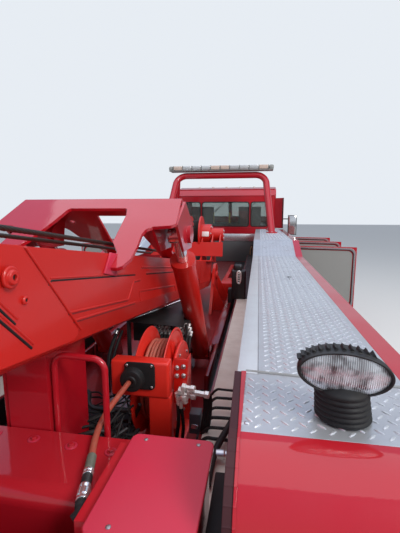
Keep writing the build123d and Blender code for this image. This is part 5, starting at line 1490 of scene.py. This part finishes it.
def rear_details():
    for z in (1.15, 1.29):
        place = (0.94, REAR_FACE_Y, z)
        name = "%d" % round(z * 100)
        cells = [
            (0.94 + r * cos(k * 2.4), -4.6745, z + r * sin(k * 2.4))
            for k, r in enumerate([0.0] + [0.018] * 3 + [0.036] * 6)]
        grommet = turning([(0, 0.064), (0.01, 0.064), (0.016, 0.057)], 40, place, REAR)
        dome = turning([(0.0, 0.054), (0.018, 0.054), (0.024, 0.046), (0.0255, 0.02)], 40, place, REAR)
        dots = turnings([(0, 0.005), (0.002, 0.004)], 8, cells, REAR)
        pair(grommet, "tail_grommet_" + name, RUBBER)
        pair(dome, "tail_lamp_" + name, TAIL_RED)
        pair(dots, "tail_lamp_cells_" + name, AMBER)
    spots = [(x, REAR_FACE_Y, z) for x in (-0.6, -0.36, -0.12, 0.12, 0.36, 0.6) for z in (0.84, 1.32)]
    finished(bolts(spots, REAR, 0.02, 0.009, 0.014), "apron_bolts", ZINC)
    arm_bolts = [
        bolt((side * 0.09, y, z), (side, 0, 0), 0.018, 0.008, 0.013) for side in (1, -1)
        for y in (-4.83, -4.75) for z in (0.72, 1.2)]
    finished(arm_bolts, "lift_arm_bolts", ZINC, "wheel_lift")
    finished(
        [slab(-0.086, y, 1.2605, 0.086, y + 0.012, 1.266, 0.001) for y in (-4.856, -4.736)], "lift_arm_pads",
        PLASTIC, "wheel_lift")
    caps = [slab(x - 0.003, -4.967, 1.258, x + 0.003, -4.873, 1.362, 0.002) for x in (0.48, -0.48)]
    caps += turnings(
        [(0, 0.03), (0.003, 0.03), (0.003, 0.0235)], 32,
        [(x, -4.92, 1.3645) for x in (0.25, 0.42, -0.25, -0.42)])
    # The crossbar caps are in the shaded red: painted shade.
    finished(caps, "crossbar_trim", SHADED_RED, "crossbar")
    head = [
        turning([(0, 0.052), (0.008, 0.052), (0.012, 0.046), (0.012, 0.02)], 32,
            (side * 0.2005, SHEAVE_Y, 0.0), (side, 0, 0)) for side in (1, -1)]
    for side in (1, -1):
        head += bolts(around((side * 0.19, SHEAVE_Y, 0), 0.075, 4), (side, 0, 0), 0.018, 0.008, 0.012)
    finished(on_boom(head), "sheave_pin_caps", ZINC, "boom_stage")


WINCH_Y = -0.33
WINCH_Z = 0.436


def winch_details():
    """Rope wound on the drums, bolted motor ends, and the bare white plate on the right winch."""
    coils, heads = [], []
    for side in (1, -1):
        rings = ribbed(0, 0.0089, 11, ((0.0245, 0.134), (0.0285, 0.142), (0.031, 0.142)))
        coils.append(turning(rings, 48, (0, WINCH_Y, WINCH_Z), (side, 0, 0)))
        for drum, motor in zip(
                around((side * 0.2345, WINCH_Y, WINCH_Z), 0.088, 6),
                around((side * 0.3615, WINCH_Y, WINCH_Z), 0.045, 6)):
            heads.append(bolt(drum, (side, 0, 0), 0.016, 0.008, 0.011))
            heads.append(bolt(motor, (side, 0, 0), 0.012, 0.007, 0.008))
    cords(on_boom(coils), "wound_rope", ROPE_STEEL, "boom")
    finished(
        on_boom([slab(0.15, -0.437, 0.405, 0.222, -0.4355, 0.455, 0.0004)]), "winch_plate", WHITE_PLATE,
        "boom")
    finished(on_boom(heads), "winch_bolts", ZINC, "boom")


# Stage
def pale_world():
    """A grey sky that is only mirrored, a soft light, and a pale backdrop for the camera."""
    world = bpy.data.worlds.new("studio")
    bpy.context.scene.world = world
    world.use_nodes = True
    tree = world.node_tree
    tree.nodes.clear()
    path = add(tree, "LightPath")
    split = add(tree, "SeparateXYZ", {0: add(tree, "TexCoord")["Object"]})
    ramp = add(tree, "ValToRGB", {"Fac": split["Z"]})
    steps = ramp[0].node.color_ramp.elements
    steps[0].position = 0.0
    steps[0].color = (0.12, 0.12, 0.13, 1)
    steps[1].position = 0.9
    steps[1].color = (0.2, 0.3, 0.6, 1)
    for height, colour in (
            (0.07, (0.24, 0.25, 0.27, 1)), (0.16, (0.5, 0.55, 0.62, 1)), (0.33, (0.42, 0.47, 0.55, 1)),
            (0.58, (0.33, 0.4, 0.6, 1))):
        steps.new(height).color = colour
    lit = add(tree, "Background", {"Color": (0.86, 0.92, 1.0, 1), "Strength": 0.5})
    sky = add(tree, "Background", {"Color": ramp["Color"]})
    shown = add(tree, "Background", {"Color": (0.8, 0.845, 0.9, 1)})
    seen = calc(tree, "MAXIMUM", path["Is Camera Ray"], path["Is Transmission Ray"])
    unseen = add(tree, "MixShader", {0: path["Is Glossy Ray"], 1: lit[0], 2: sky[0]})
    add(tree, "OutputWorld", {"Surface": add(tree, "MixShader", {0: seen, 1: unseen[0], 2: shown[0]})[0]})


def floor():
    bpy.ops.object.select_all(action="DESELECT")
    bpy.ops.mesh.primitive_plane_add(size=120, location=(0, 0, 0))
    ground = active()
    ground.name = "floor"
    material, tree, shader = blank_material("pale_floor", Roughness=0.8)
    glossy = add(tree, "LightPath")["Is Glossy Ray"]
    put_on(tree, shader, Base_Color=mixed_colour(tree, glossy, (0.8, 0.81, 0.82), (0.2, 0.2, 0.2)))
    ground.data.materials.append(material)
    ground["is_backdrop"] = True


def held(data, place):
    """Hangs a light or a camera in the scene."""
    holder = bpy.data.objects.new(data.name, data)
    bpy.context.scene.collection.objects.link(holder)
    holder.location = place
    return holder


def lamps():
    for name, place, size, power, colour in (
            ("overhead", (0.5, -2, 9), 11, 400, (1, 0.98, 0.96)),
            ("side", (8.2, -9.2, 8.5), 4, 820, (1, 0.97, 0.93))):
        light = bpy.data.lights.new(name, "AREA")
        light.size = size
        light.energy = power
        light.color = colour
        aim = Vector((0, 0, 1)) - Vector(place)
        held(light, place).rotation_euler = aim.to_track_quat("-Z", "Y").to_euler()


def camera():
    data = bpy.data.cameras.new("camera")
    data.sensor_width = SENSOR_MM
    data.lens = FOCAL_PX / PHOTO_HEIGHT_PX * SENSOR_MM
    data.clip_start = 0.02
    holder = held(data, CAMERA_PLACE)
    holder.rotation_euler = (radians(90 - CAMERA_PITCH_DEG), 0, radians(CAMERA_YAW_DEG))
    bpy.context.scene.camera = holder


camera()
pale_world()
floor()
lamps()
bpy.context.scene.view_settings.view_transform = "Standard"
finish_nodes()
air_hose()
tread_lugs()
plate_trim()
ledges()
work_lamp()
boom_ridges()
collar_fittings()
winch_ropes()
deck_box_fittings()
guide_fittings()
reel_windings()
reel_body()
inner_flange()
ledge_lines()
reel_plumbing()
cable_tangle()
valve_fittings()
well_rails()
bulkhead()
arch_feet()
bar_modules()
cab_rear_trim()
box_doors()
box_interiors()
body_sides()
wheels()
front_lamps()
grille_and_hood()
cab_trim()
rear_details()
winch_details()

corners = [cad_low, cad_high, *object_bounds()]
